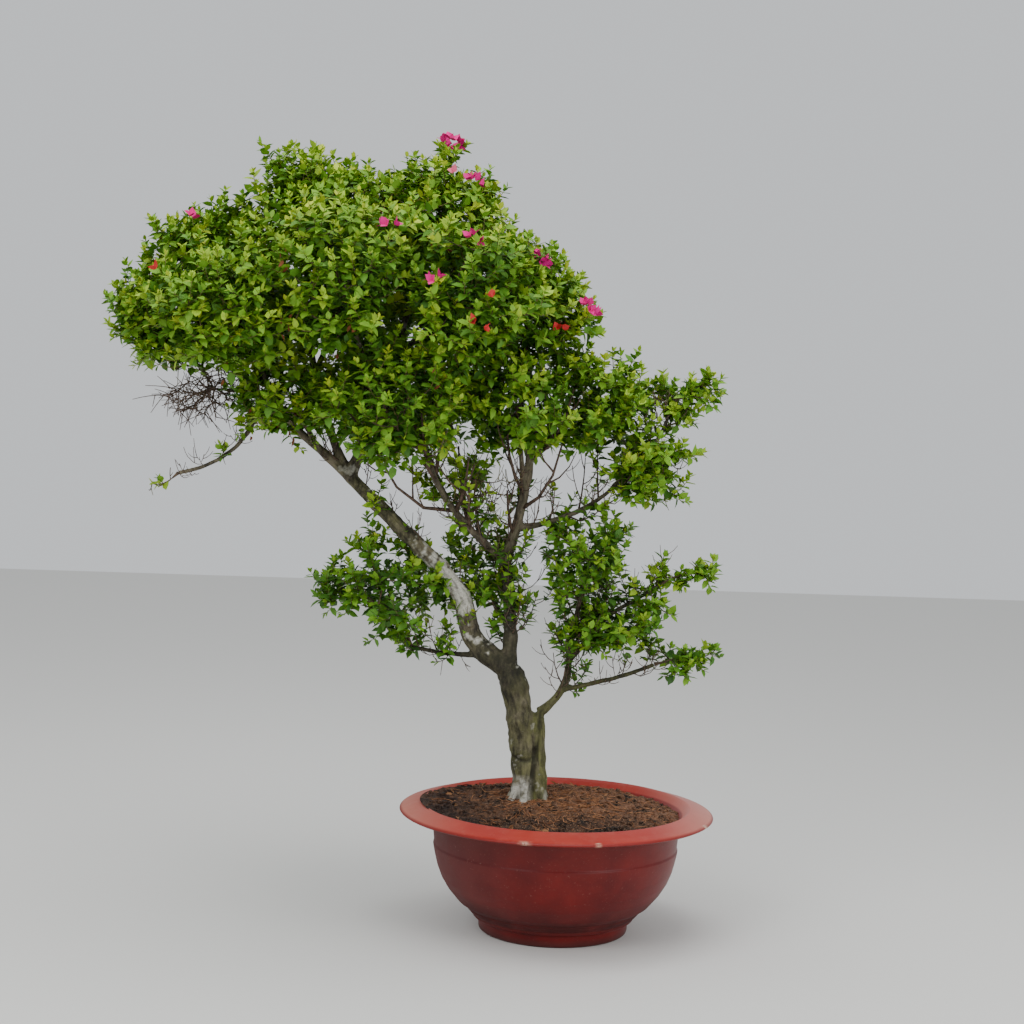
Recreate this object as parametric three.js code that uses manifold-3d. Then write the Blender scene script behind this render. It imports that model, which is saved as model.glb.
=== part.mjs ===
// A bougainvillea bush trained as a leaning tree, standing in a wide round pot.
// Millimetres, +Z up. The origin is the middle of the pot's flat underside, +X runs to the right
// of the view in which the crown leans to the left, and +Y runs away from the viewer.
import * as THREE from 'three';
import { mergeVertices } from 'three/addons/utils/BufferGeometryUtils.js';
import Module from 'manifold-3d';

const wasm = await Module();
wasm.setup();

const GAP = 0.3; // clearance between pieces that touch

// Driving sizes of the pot and its soil.
const POT_SIDES = 30;
const RIM_RADIUS = 400; // outer edge of the flange
const MOUTH_RADIUS = 332; // inner edge of the flange
const NECK_RADIUS = 319; // outside of the wall, where it meets the flange
const FOOT_RADIUS = 190;
const FLANGE_TOP = 325; // height of the flange at the mouth
const FLANGE_DROP = 16; // fall of the flange from the mouth to its outer edge
const LIP = 11; // depth of the lip at the outer edge
const MOUTH_EDGE = 5; // height of the bevel round the mouth
const MOUTH_DEPTH = 30; // height of the sloping mouth, below the flange's top
const WALL = 12;
const FLOOR = 20; // thickness of the pot's floor
const SOIL_EDGE = 310; // height of the soil at the wall
const SOIL_TOP = 335; // height of the soil where the trunk stands
const SOIL_FLAT = 150; // radius of the flat top of the soil

// Driving sizes of the trunk.
const TRUNK_SIDES = 10;
const TRUNK_FOOT = [-86, 0, SOIL_TOP - 30];
const TRUNK_REACH = [-48, 0, 359]; // from the foot, which is cut flat at the soil, to the fork
const TRUNK_BOW = [22, 0, 0];
const TRUNK_GIRTH = [36, 34];
const SIDE_STEM_FOOT = [-48, -14, SOIL_TOP - 30];
const SIDE_STEM_REACH = [-6, 12, 251];
const SIDE_STEM_BOW = [4, 0, 0];
const SIDE_STEM_GIRTH = [21, 14];
const TOE_MIDDLE = [-72, -5]; // the root toes spread from here
const TOE_ANGLES = [-155, -105, -35, 25, 95, 165]; // degrees round that, from +X to +Y
const TOE_RISE = 95; // height above the soil at which a root toe leaves the trunk
const TOE_SINK = 16; // how far it runs on below the soil's top, where it is cut
const TOE_START = 14; // how far from the middle it leaves the trunk
const TOE_SPREAD = 56; // and how far from the middle it meets the soil
const TOE_BOW = 8; // how far its middle is drawn in
const TOE_GIRTH = [16, 11];

// Driving sizes of the limbs, twigs and leaves.
const BOUGH_SIDES = 8; // round a thick limb
const LIMB_SIDES = 5; // round a thin one
const THIN_LIMB = 9; // radius up to which a limb counts as thin
const LIMB_STEP = 100; // length of limb between two rings
const DOME = 0.7; // height of a limb's rounded tip, as a share of its radius
const DOME_RING = [0.72, 0.62]; // radius of a ring in that dome, and its height, as shares
const SIDE_SWING = 0.08; // how much a side limb first follows its parent, as a share of its length
const LIMB_ENTRY = 0.62; // how far out in a mass's space its limb ends, as a share of its half-size
const FARTHEST_ENTRY = 0.85; // and at most this share of the way from the middle to its foot
const DRAW_IN = 0.95; // how much a point outside the space is drawn in at each try
const SHOOT_WIDTH = 70; // half-width of the space round a shoot that stands out of the crown
const TWIG_STEP = 70; // length of twig between two points that others may join
const STEM_TAPER = 0.75;
const TWIG_GIRTH = [5.4, 4.6]; // radius of a twig at foot and tip
const TWIG_SHARES = [0.42, 0.66]; // how far out in the space twigs end
const DENSE_SHARES = [0.66, 0.8]; // and where a core fills the middle
const HEART = 0.55; // how far a mass's stem runs from its foot to the middle of the space
const LEAF_LENGTH = 84; // a leaf stands for a whole spray, so it is larger than life
const LEAF_WIDTH = 62;
const LEAF_THICKNESS = 6;
const LEAF_WAIST = 0.42; // where along its length a leaf is widest
const LEAF_ROOT = 0.4; // how far a leaf's root is sunk past its twig's axis
const LEAF_FOOT = 14; // length of a leaf's foot, past which it stays clear of twigs
const END_LEANS = [0, 0.9]; // radians between a twig and the leaf at its end
const LEAF_LEANS = [0.55, 1.25]; // between it and the leaves along it
const CORE_LEANS = [0.45, 1.05]; // and between a core's surface normal and its leaves
const LEAF_PLACES = [0.99, 0.74, 0.48]; // where along its twig each leaf stands
const DENSE_TWIGS = 2; // in a dense mass
const LEAF_SCALES = [1.6, 1.3, 1, 0.75]; // the largest leaf that fits its place is taken
const LEAF_LEVEL = 0.5; // how much leaves turn their upper faces up, besides outward
const LEAF_RISE = 0.25; // how much the leaves round a twig keep to its upper side
const LEAF_TRIES = 9; // directions tried for each scale
const CORE_DEPTH = 0.86; // how far out in the core its leaves have their roots
const CORE_SHARE = 0.62; // half-size of a dense mass's core, as a share of its space
const PARENTS_TRIED = 6; // points that a twig may join, the cheapest first
const ENTRY_DEPTH = 10; // least depth of a limb's tip inside the space that it enters
const PATH_PULL = 0.35; // how much a long way back to the stem counts when a twig picks its parent
const SPACE_MARGIN = 2; // each mass keeps this far inside its own space
const LIMB_CLEARANCE = 3; // and this far from the limbs
const GOLDEN = (Math.sqrt(5) - 1) / 2;
const SPREAD_BASE = 1.2207440846; // root of x^4 = x + 1, which spreads points evenly in a space

// The limbs, each on its parent at a share of the parent's length. reach runs from foot to tip, and
// a limb without it ends where it enters the space of the mass that it bears. bow moves the middle
// of the limb off the straight line, and girth is the radius at foot and tip.
const limbs = [
  { name: 'left_bough', on: 'trunk', at: 1, reach: [-416, 0, 479],
    via: [[-89, 0, 71], [-134, 0, 195]], girth: [27, 16] },
  { name: 'centre_bough', on: 'trunk', at: 1, reach: [-16, 10, 279], bow: [8, 6, 0], girth: [19, 14] },
  { name: 'right_bough', on: 'side_stem', at: 1, reach: [73, 2, 144], bow: [20, 0, -12], girth: [11, 9] },
  { name: 'left_limb', on: 'left_bough', at: 1, bears: 'foliage_far_left',
    bow: [20, 0, -26], girth: [12, 8] },
  { name: 'middle_limb', on: 'left_bough', at: 1, bears: 'foliage_top_left',
    bow: [-34, 30, -20], girth: [12, 7] },
  { name: 'right_limb', on: 'left_bough', at: 1, bears: 'foliage_top_right',
    bow: [40, 0, -50], girth: [14, 7] },
  { name: 'centre_left_limb', on: 'centre_bough', at: 1, bears: 'foliage_low_front',
    bow: [-30, 0, -46], girth: [10, 7] },
  { name: 'centre_right_limb', on: 'centre_bough', at: 1,
    bears: 'foliage_right_edge', bow: [44, 0, -30], girth: [14, 8] },
  { name: 'left_front_limb', on: 'left_limb', at: 0.4, bears: 'foliage_left_front', girth: [8, 6] },
  { name: 'low_left_limb', on: 'left_limb', at: 0.2, bears: 'foliage_low_left', girth: [7, 6] },
  { name: 'bare_left_limb', on: 'left_limb', at: 0.62, bears: 'bare_twigs_left', girth: [6, 5.4] },
  { name: 'left_back_limb', on: 'middle_limb', at: 0.3, bears: 'foliage_left_back', girth: [8, 6] },
  { name: 'left_top_limb', on: 'middle_limb', at: 0.62, bears: 'foliage_left_top', girth: [7, 6] },
  { name: 'mid_back_limb', on: 'middle_limb', at: 0.46, bears: 'foliage_mid_back', girth: [8, 6] },
  { name: 'mid_front_limb', on: 'right_limb', at: 0.24, bears: 'foliage_mid_front', girth: [8, 6] },
  { name: 'right_front_limb', on: 'right_limb', at: 0.5, bears: 'foliage_right_front', girth: [8, 6] },
  { name: 'right_back_limb', on: 'right_limb', at: 0.38, bears: 'foliage_right_back', girth: [8, 6] },
  { name: 'low_back_limb', on: 'centre_left_limb', at: 0.55, bears: 'foliage_low_back', girth: [7, 6] },
  { name: 'low_right_limb', on: 'centre_right_limb', at: 0.3, bears: 'foliage_low_right', girth: [8, 6] },
  { name: 'shoulder_limb', on: 'centre_right_limb', at: 0.5, bears: 'foliage_shoulder', girth: [8, 6] },
  { name: 'right_arm', on: 'centre_right_limb', at: 0.16, bears: 'foliage_arm',
    bow: [20, 0, -40], girth: [9, 5] },
  { name: 'spray_limb', on: 'right_arm', at: 0.94, bears: 'foliage_spray',
    bow: [20, 0, 0], girth: [6, 5.4] },
  { name: 'low_left_bough', on: 'left_bough', at: 0.1, bears: 'foliage_low_bough',
    reach: [-196, 34, 10], bow: [0, 0, -8], girth: [8, 5] },
  { name: 'low_centre_limb', on: 'centre_bough', at: 0.3, bears: 'foliage_low_centre', girth: [7, 6] },
  { name: 'right_mid_limb', on: 'right_bough', at: 1, bears: 'foliage_right_mid', girth: [8, 6] },
  { name: 'right_low_limb', on: 'right_bough', at: 0.95, bears: 'foliage_right_low', girth: [7, 6] },
  { name: 'right_tip_limb', on: 'right_bough', at: 0.5, bears: 'foliage_right_tip',
    bow: [0, 0, -22], girth: [7, 5.4] },
  { name: 'right_up_limb', on: 'right_mid_limb', at: 0.3, bears: 'foliage_right_up',
    bow: [0, 0, -20], girth: [6, 5.4] },
  { name: 'hanging_twig', on: 'left_limb', at: 0.6, bears: 'foliage_hanging',
    bow: [52, 0, -48], girth: [6, 5.4] },
  { name: 'inner_limb', on: 'centre_left_limb', at: 0.2, bears: 'foliage_inner', girth: [6, 5.4] },
];

// The masses of foliage: middle and half-sizes of the oval space that each keeps to, and its number
// of twigs. A dense mass also has a core and leaves that stand out of it. Where a shoot stands out
// of the crown, tip is the end of the twig that runs there.
const masses = [
  { name: 'foliage_far_left', middle: [-1000, 0, 1540], half: [172, 245, 172],
    dense: true, tip: [-1105, 0, 1520] },
  { name: 'foliage_left_front', middle: [-825, -245, 1560], half: [235, 215, 180], dense: true },
  { name: 'foliage_left_back', middle: [-825, 250, 1565], half: [235, 215, 180], dense: true },
  { name: 'foliage_left_top', middle: [-870, 0, 1682], half: [225, 235, 150], dense: true },
  { name: 'foliage_top_left', middle: [-640, 0, 1800], half: [225, 235, 152],
    dense: true, tip: [-762, 0, 1912] },
  { name: 'foliage_mid_front', middle: [-555, -260, 1620], half: [240, 215, 230], dense: true },
  { name: 'foliage_mid_back', middle: [-555, 265, 1635], half: [240, 215, 230], dense: true },
  { name: 'foliage_top_right', middle: [-355, 0, 1790], half: [215, 230, 145],
    dense: true, tip: [-320, 0, 1940] },
  { name: 'foliage_right_front', middle: [-265, -235, 1600], half: [235, 215, 225], dense: true },
  { name: 'foliage_right_back', middle: [-265, 240, 1620], half: [235, 215, 225], dense: true },
  { name: 'foliage_right_edge', middle: [-108, 0, 1565], half: [178, 245, 205], dense: true },
  { name: 'foliage_low_front', middle: [-430, -195, 1350], half: [225, 215, 190], dense: true },
  { name: 'foliage_low_back', middle: [-430, 225, 1365], half: [230, 215, 195], dense: true },
  { name: 'foliage_low_right', middle: [-135, -50, 1365], half: [200, 235, 170], dense: true },
  { name: 'foliage_low_left', middle: [-700, -60, 1330], half: [185, 215, 130], twigs: 6 },
  { name: 'foliage_shoulder', middle: [70, 10, 1330], half: [175, 210, 155], twigs: 7 },
  { name: 'foliage_arm', middle: [200, -30, 1190], half: [135, 150, 115], twigs: 6 },
  { name: 'foliage_spray', middle: [285, 0, 1385], half: [130, 105, 90], twigs: 4, tip: [335, 0, 1405] },
  { name: 'foliage_inner', middle: [-240, 0, 1125], half: [170, 160, 110], twigs: 5 },
  { name: 'foliage_low_bough', middle: [-440, 45, 860], half: [235, 175, 160],
    twigs: 6, tip: [-590, 45, 830] },
  { name: 'foliage_low_centre', middle: [-215, 90, 905], half: [145, 155, 135], twigs: 5 },
  { name: 'foliage_right_mid', middle: [60, 0, 955], half: [165, 165, 135], twigs: 6 },
  { name: 'foliage_right_low', middle: [150, -10, 800], half: [165, 150, 105], twigs: 5 },
  { name: 'foliage_right_tip', middle: [310, -10, 712], half: [140, 90, 70], twigs: 3, tip: [350, 0, 710] },
  { name: 'foliage_right_up', middle: [295, 0, 925], half: [130, 85, 65], twigs: 3, tip: [335, 0, 928] },
  { name: 'foliage_hanging', middle: [-1000, -110, 1112], half: [115, 75, 60],
    twigs: 3, tip: [-1045, -110, 1115] },
  { name: 'bare_twigs_left', middle: [-930, 0, 1358], half: [135, 135, 92], twigs: 8, bare: true },
];

const finish = (color, roughness) => new THREE.MeshStandardMaterial({ color, roughness, metalness: 0 });
const earthenware = finish('#7a2c26', 0.55);
const soilFinish = finish('#3b2a1e', 0.95);
const bark = finish('#75695a', 0.9);
const foliage = finish('#5f8a2a', 0.6);

const vector = (values) => new THREE.Vector3(...values);

// Turns a closed geometry into a solid with its faces pointing out.
function solidOf(geometry) {
  const shape = geometry.index ? geometry.toNonIndexed() : geometry.clone();
  shape.deleteAttribute('normal');
  shape.deleteAttribute('uv');
  const merged = mergeVertices(shape, 1e-3);
  const vertProperties = new Float32Array(merged.attributes.position.array);
  const corners = Array.from(merged.index.array);
  const faces = [];
  for (let i = 0; i < corners.length; i += 3) {
    const [a, b, c] = corners.slice(i, i + 3);
    if (a !== b && b !== c && c !== a) faces.push([a, b, c]);
  }
  const build = (list) => {
    const triVerts = new Uint32Array(list.flat());
    return new wasm.Manifold(new wasm.Mesh({ numProp: 3, vertProperties, triVerts }));
  };
  const solid = build(faces);
  return solid.volume() > 0 ? solid : build(faces.map(([a, b, c]) => [a, c, b]));
}

// Turns a solid back into a named mesh.
function meshOf(name, solid, material) {
  const { vertProperties, triVerts } = solid.getMesh();
  const geometry = new THREE.BufferGeometry();
  geometry.setAttribute('position', new THREE.BufferAttribute(new Float32Array(vertProperties), 3));
  geometry.setIndex(new THREE.BufferAttribute(new Uint32Array(triVerts), 1));
  geometry.computeVertexNormals();
  const mesh = new THREE.Mesh(geometry, material);
  mesh.name = name;
  return mesh;
}

// The largest closed body of a solid: loose scraps go, and hollows that joining sealed are filled.
function mainBody(solid) {
  return solid.decompose().reduce((best, body) => (body.volume() > best.volume() ? body : best));
}

// A limb's centreline: a curve from foot to tip that runs through the points in via, counted from
// the foot, or whose middle is moved off the straight line by bow.
function centreline(foot, reach, bow, via) {
  const tip = foot.clone().add(reach);
  if (via) {
    const between = via.map((offset) => foot.clone().add(vector(offset)));
    return new THREE.CatmullRomCurve3([foot, ...between, tip]);
  }
  const control = foot.clone().add(tip).multiplyScalar(0.5).addScaledVector(bow, 2);
  return new THREE.QuadraticBezierCurve3(foot, control, tip);
}

// A tapering limb with a rounded tip: the taper is turned as a profile, then bent along the
// centreline. grow makes the same limb thicker all round.
function limbSolid({ curve, girth, sides }, grow = 0) {
  const length = curve.getLength();
  const steps = Math.max(2, Math.round(length / LIMB_STEP));
  const profile = [new THREE.Vector2(0, 0)];
  for (let i = 0; i <= steps; i += 1) {
    profile.push(new THREE.Vector2(THREE.MathUtils.lerp(...girth, i / steps) + grow, (length * i) / steps));
  }
  const dome = girth[1] * DOME;
  profile.push(new THREE.Vector2(girth[1] * DOME_RING[0] + grow, length + dome * DOME_RING[1]));
  profile.push(new THREE.Vector2(0, length + dome + grow));
  const geometry = new THREE.LatheGeometry(profile, sides);
  const { normals, binormals } = curve.computeFrenetFrames(steps);
  const tipward = curve.getTangentAt(1);
  const position = geometry.attributes.position;
  for (let k = 0; k < position.count; k += 1) {
    const along = Math.min(position.getY(k), length);
    const frame = Math.round((steps * along) / length);
    const place = curve.getPointAt(along / length).addScaledVector(tipward, position.getY(k) - along);
    place.addScaledVector(normals[frame], position.getX(k));
    place.addScaledVector(binormals[frame], position.getZ(k));
    position.setXYZ(k, place.x, place.y, place.z);
  }
  return solidOf(geometry);
}

// A closed profile of [radius, height] points turned round the pot's axis.
function turned(points) {
  const profile = points.map(([radius, height]) => new THREE.Vector2(radius, height));
  return solidOf(new THREE.LatheGeometry(profile, POT_SIDES).rotateX(Math.PI / 2));
}

// The inside of the bowl, from its floor up to where the mouth begins to slope out.
const BOWL_INSIDE = [
  [0, FLOOR], [FOOT_RADIUS, FLOOR + 14], [245 - WALL, 82], [300 - WALL, 170],
  [NECK_RADIUS - WALL, FLANGE_TOP - MOUTH_DEPTH],
];

// The pot: a bowl with a foot ring, a shallow groove above the foot, a step high on the side and a
// wide flange that falls to a rounded lip.
function makePot() {
  const edge = FLANGE_TOP - FLANGE_DROP;
  return turned([
    [0, 0], [FOOT_RADIUS - 4, 0], [FOOT_RADIUS, 6], [FOOT_RADIUS + 3, 30],
    [FOOT_RADIUS + 20, 36], [FOOT_RADIUS + 22, 46], [245, 74], [272, 108], [300, 160], [312, 219],
    [309, 223], [NECK_RADIUS, edge - LIP - 4], [RIM_RADIUS - 10, edge - LIP],
    [RIM_RADIUS, edge - LIP + 5], [RIM_RADIUS - 4, edge], [MOUTH_RADIUS + 8, FLANGE_TOP],
    [MOUTH_RADIUS, FLANGE_TOP - MOUTH_EDGE],
    ...BOWL_INSIDE.toReversed(),
  ]);
}

// The soil fills the bowl to a line on the sloping mouth, and rises in a low mound whose top is flat
// where the trunk stands.
function makeSoil() {
  const inside = BOWL_INSIDE.map(([radius, height]) => [Math.max(0, radius - 2 * GAP), height + 2 * GAP]);
  const filled = (SOIL_EDGE - FLANGE_TOP + MOUTH_DEPTH) / (MOUTH_DEPTH - MOUTH_EDGE);
  const edgeRadius = THREE.MathUtils.lerp(NECK_RADIUS - WALL, MOUTH_RADIUS, filled) - 2 * GAP;
  return turned([
    ...inside, [edgeRadius, SOIL_EDGE], [250, SOIL_EDGE + 9], [195, SOIL_TOP - 7],
    [SOIL_FLAT, SOIL_TOP - GAP], [0, SOIL_TOP - GAP],
  ]);
}

// Trunk: a leaning main stem with a thinner stem grown onto its side, and root toes that spread at
// the soil, where all of it is cut flat.
function makeTrunk(stems) {
  const toes = TOE_ANGLES.map((degrees) => {
    const outward = vector([1, 0, 0]).applyAxisAngle(vector([0, 0, 1]), THREE.MathUtils.degToRad(degrees));
    const top = vector([...TOE_MIDDLE, SOIL_TOP + TOE_RISE]).addScaledVector(outward, TOE_START);
    const reach = outward.clone().multiplyScalar(TOE_SPREAD - TOE_START).setZ(-TOE_RISE - TOE_SINK);
    const curve = centreline(top, reach, outward.clone().multiplyScalar(-TOE_BOW));
    return limbSolid({ curve, girth: TOE_GIRTH, sides: LIMB_SIDES });
  });
  const below = new THREE.BoxGeometry(1000, 1000, SOIL_TOP).translate(0, 0, SOIL_TOP / 2);
  return wasm.Manifold.union([...stems, ...toes]).subtract(solidOf(below));
}

// How far out a point lies in a mass's space: 0 at the middle, 1 at the edge.
const shareOut = (place, mass) => place.clone().sub(mass.middle).divide(mass.half).length();

// How deep a point lies inside a mass's space, in mm: its oval and the room round its shoot, less
// what lies nearer to another mass. The border between two masses is the plane on which spheres of
// their mean half-sizes would meet.
function depthInside(place, mass) {
  const size = (other) => other.half.dot(vector([1, 1, 1])) / 3;
  const power = (other) => place.distanceToSquared(other.middle) - size(other) ** 2;
  let depth = (1 - shareOut(place, mass)) * Math.min(...mass.half.toArray());
  if (mass.tip) {
    const shoot = new THREE.Line3(mass.middle, mass.tip);
    const nearest = shoot.closestPointToPoint(place, true, new THREE.Vector3());
    depth = Math.max(depth, SHOOT_WIDTH - nearest.distanceTo(place));
  }
  for (const other of masses) {
    if (other === mass) continue;
    const apart = mass.middle.distanceTo(other.middle);
    depth = Math.min(depth, (power(other) - power(mass)) / (2 * apart));
  }
  return depth;
}

// Each mass's middle, half-sizes and tip become vectors before anything is worked out from them.
for (const mass of masses) {
  mass.middle = vector(mass.middle);
  mass.half = vector(mass.half);
  if (mass.tip) mass.tip = vector(mass.tip);
}

// Where a limb that sets off at foot ends, inside the space of the mass that it bears.
function entryTo(mass, foot) {
  let share = Math.min(FARTHEST_ENTRY, LIMB_ENTRY / shareOut(foot, mass));
  const place = () => mass.middle.clone().lerp(foot, share);
  while (depthInside(place(), mass) < ENTRY_DEPTH) share *= DRAW_IN;
  return place();
}

// The centrelines of the trunk's stems and of all limbs, by name.
const tubes = new Map();
tubes.set('trunk', {
  curve: centreline(vector(TRUNK_FOOT), vector(TRUNK_REACH), vector(TRUNK_BOW)),
  girth: TRUNK_GIRTH,
  sides: TRUNK_SIDES,
});
tubes.set('side_stem', {
  curve: centreline(vector(SIDE_STEM_FOOT), vector(SIDE_STEM_REACH), vector(SIDE_STEM_BOW)),
  girth: SIDE_STEM_GIRTH,
  sides: TRUNK_SIDES,
});
for (const limb of limbs) {
  const parent = tubes.get(limb.on).curve;
  const foot = parent.getPointAt(limb.at);
  const mass = masses.find(({ name }) => name === limb.bears);
  const reach = limb.reach ? vector(limb.reach) : entryTo(mass, foot).sub(foot);
  const bow = vector(limb.bow ?? [0, 0, 0]);
  // A side limb sets off partly in its parent's direction.
  bow.addScaledVector(parent.getTangentAt(limb.at), limb.reach ? 0 : reach.length() * SIDE_SWING);
  if (mass) {
    mass.foot = foot.clone().add(reach);
    mass.stemRadius = limb.girth[1];
  }
  const sides = limb.girth[0] > THIN_LIMB ? BOUGH_SIDES : LIMB_SIDES;
  tubes.set(limb.name, { curve: centreline(foot, reach, bow, limb.via), girth: limb.girth, sides });
}

// A twig between two points, thinner at its end, with its foot at its parent's axis.
function twigSolid(from, to, radii, sides = 3) {
  const run = to.clone().sub(from);
  const length = run.length();
  const turn = new THREE.Quaternion().setFromUnitVectors(vector([0, 1, 0]), run.normalize());
  const geometry = new THREE.CylinderGeometry(radii[1], radii[0], length, sides);
  geometry.applyQuaternion(turn).translate(...from.clone().lerp(to, 0.5));
  return solidOf(geometry);
}

// A leaf: a kite of four faces, with a ridge from root to tip, widest at its waist.
function leafSolid(root, along, up, scale) {
  const across = new THREE.Vector3().crossVectors(up, along).normalize();
  const top = new THREE.Vector3().crossVectors(along, across);
  const start = root.clone().addScaledVector(along, -LEAF_ROOT);
  const geometry = new THREE.TetrahedronGeometry(Math.sqrt(3));
  const position = geometry.attributes.position;
  for (let k = 0; k < position.count; k += 1) {
    const [x, y, z] = [position.getX(k), position.getY(k), position.getZ(k)];
    const ridge = z > 0;
    const reach = ridge ? (1 + (x + y) / 2) / 2 : LEAF_WAIST;
    const place = start.clone().addScaledVector(along, reach * scale * LEAF_LENGTH);
    place.addScaledVector(across, ridge ? 0 : (x * scale * LEAF_WIDTH) / 2);
    place.addScaledVector(top, (z * LEAF_THICKNESS) / 2);
    position.setXYZ(k, place.x, place.y, place.z);
  }
  return solidOf(geometry);
}

// The k-th of a series of points spread evenly through a mass's space, in an order of its own.
function scattered(mass, k, seed) {
  const [turn, rise, out] = [1, 2, 3].map((n) => (0.5 + 0.31 * n * seed + k / SPREAD_BASE ** n) % 1);
  const height = 2 * rise - 1;
  const round = Math.sqrt(1 - height * height);
  const angle = 2 * Math.PI * turn;
  const direction = vector([round * Math.cos(angle), round * Math.sin(angle), height]);
  const shares = mass.dense ? DENSE_SHARES : TWIG_SHARES;
  direction.multiplyScalar(THREE.MathUtils.lerp(...shares, out));
  return direction.multiply(mass.half).add(mass.middle);
}

// Whether every corner of a solid lies inside the mass's space.
function staysInside(solid, mass) {
  const { vertProperties } = solid.getMesh();
  for (let i = 0; i < vertProperties.length; i += 3) {
    if (depthInside(vector(vertProperties.slice(i, i + 3)), mass) < SPACE_MARGIN) return false;
  }
  return true;
}

// The twigs of a mass: from its stem, each next twig joins the point that makes the way short, and
// is skipped where it would leave the space or come near a limb.
function growTwigs(mass, seed, isClear) {
  const heart = mass.foot.clone().lerp(mass.middle, HEART);
  const stemRadii = [mass.stemRadius, Math.max(TWIG_GIRTH[0], mass.stemRadius * STEM_TAPER)];
  const stem = { from: mass.foot, to: heart, radii: stemRadii };
  const points = [{ place: heart, way: mass.foot.distanceTo(heart) }];
  const twigs = [];
  const ends = [];
  for (let k = 1; ends.length < (mass.twigs ?? DENSE_TWIGS); k += 1) {
    const end = scattered(mass, k, seed);
    if (depthInside(end, mass) > 0) ends.push(end);
  }
  if (mass.tip) ends.push(mass.tip);
  ends.sort((a, b) => a.distanceTo(heart) - b.distanceTo(heart));
  for (const end of ends) {
    const cost = (point) => point.place.distanceTo(end) + PATH_PULL * point.way;
    const parents = points.toSorted((a, b) => cost(a) - cost(b)).slice(0, PARENTS_TRIED);
    const parent = parents.find(({ place }) => isClear(twigSolid(place, end, TWIG_GIRTH)));
    if (!parent) continue;
    const length = parent.place.distanceTo(end);
    for (let along = TWIG_STEP; along < length; along += TWIG_STEP) {
      points.push({ place: parent.place.clone().lerp(end, along / length), way: parent.way + along });
    }
    points.push({ place: end, way: parent.way + length });
    twigs.push({ from: parent.place, to: end, radii: TWIG_GIRTH });
  }
  return { stem, twigs };
}

// The core of a dense mass: a faceted ball whose corners are drawn in where they would leave the
// mass's space.
function coreGeometry(mass, seed) {
  const geometry = new THREE.IcosahedronGeometry(1).rotateZ(seed);
  const position = geometry.attributes.position;
  for (let k = 0; k < position.count; k += 1) {
    const corner = vector([position.getX(k), position.getY(k), position.getZ(k)]).multiply(mass.half);
    let share = CORE_SHARE;
    const place = () => mass.middle.clone().addScaledVector(corner, share);
    while (depthInside(place(), mass) < SPACE_MARGIN) share *= DRAW_IN;
    position.setXYZ(k, ...place());
  }
  return geometry;
}

// Where a mass's leaves have their roots: along its twigs, and on each face of its core.
function leafSites(mass, twigs, core) {
  const sites = [];
  for (const { from, to } of twigs) {
    const run = to.clone().sub(from).normalize();
    for (const share of LEAF_PLACES) {
      const leans = share === LEAF_PLACES[0] ? END_LEANS : LEAF_LEANS;
      sites.push({ root: from.clone().lerp(to, share), run, leans });
    }
  }
  const position = core?.attributes.position;
  const corner = (k) => vector([position.getX(k), position.getY(k), position.getZ(k)]);
  for (let k = 0; k < (position?.count ?? 0); k += 3) {
    const centre = corner(k).add(corner(k + 1)).add(corner(k + 2)).divideScalar(3);
    const run = centre.clone().sub(mass.middle).normalize();
    sites.push({ root: mass.middle.clone().lerp(centre, CORE_DEPTH), run, leans: CORE_LEANS });
  }
  return sites;
}

// The leaves of a mass: each takes the first direction and the largest scale that fit its place,
// and touches twigs only at its foot.
function growLeaves(mass, seed, sites, wood, isClear) {
  let leaves = wasm.Manifold.union([]);
  let turns = seed * GOLDEN;
  for (const { root, run, leans } of sites) {
    const up = root.clone().sub(mass.middle).normalize().add(vector([0, 0, LEAF_LEVEL]));
    for (let attempt = 0; attempt < LEAF_TRIES * LEAF_SCALES.length; attempt += 1) {
      const scale = LEAF_SCALES[Math.floor(attempt / LEAF_TRIES)];
      turns += GOLDEN;
      const roll = 2 * Math.PI * turns;
      const side = vector([Math.cos(roll), Math.sin(roll), LEAF_RISE]).projectOnPlane(run).normalize();
      const lean = THREE.MathUtils.lerp(...leans, (attempt * GOLDEN) % 1);
      const along = run.clone().multiplyScalar(Math.cos(lean)).addScaledVector(side, Math.sin(lean));
      const waist = root.clone().addScaledVector(along, LEAF_WAIST * scale * LEAF_LENGTH);
      if (mass.dense && shareOut(waist, mass) < CORE_SHARE) continue;
      const leaf = leafSolid(root, along, up, scale);
      const blade = leafSolid(root.clone().addScaledVector(along, LEAF_FOOT), along, up, scale);
      if (isClear(leaf) && leaves.intersect(leaf).isEmpty() && wood.intersect(blade).isEmpty()) {
        leaves = leaves.add(leaf);
        break;
      }
    }
  }
  return leaves;
}

// One mass of foliage: stem, twigs, leaves and, in a dense mass, a core, all grown into one solid
// that lies clear of the limbs.
function makeMass(mass, seed, limbSolids, guard) {
  const isClear = (solid) => staysInside(solid, mass) && guard.intersect(solid).isEmpty();
  const { stem, twigs } = growTwigs(mass, seed, isClear);
  const parts = [twigSolid(stem.from, stem.to, stem.radii, LIMB_SIDES)];
  parts.push(...twigs.map(({ from, to, radii }) => twigSolid(from, to, radii)));
  const wood = wasm.Manifold.union(parts);
  const core = mass.dense ? coreGeometry(mass, seed) : null;
  if (core) parts.push(solidOf(core));
  if (!mass.bare) parts.push(growLeaves(mass, seed, leafSites(mass, twigs, core), wood, isClear));
  return mainBody(wasm.Manifold.union(parts).subtract(limbSolids));
}

const plant = new THREE.Group();
plant.add(meshOf('pot', makePot(), earthenware));
plant.add(meshOf('soil', makeSoil(), soilFinish));

const trunk = makeTrunk(['trunk', 'side_stem'].map((name) => limbSolid(tubes.get(name))));
plant.add(meshOf('trunk', trunk, bark));

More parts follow.
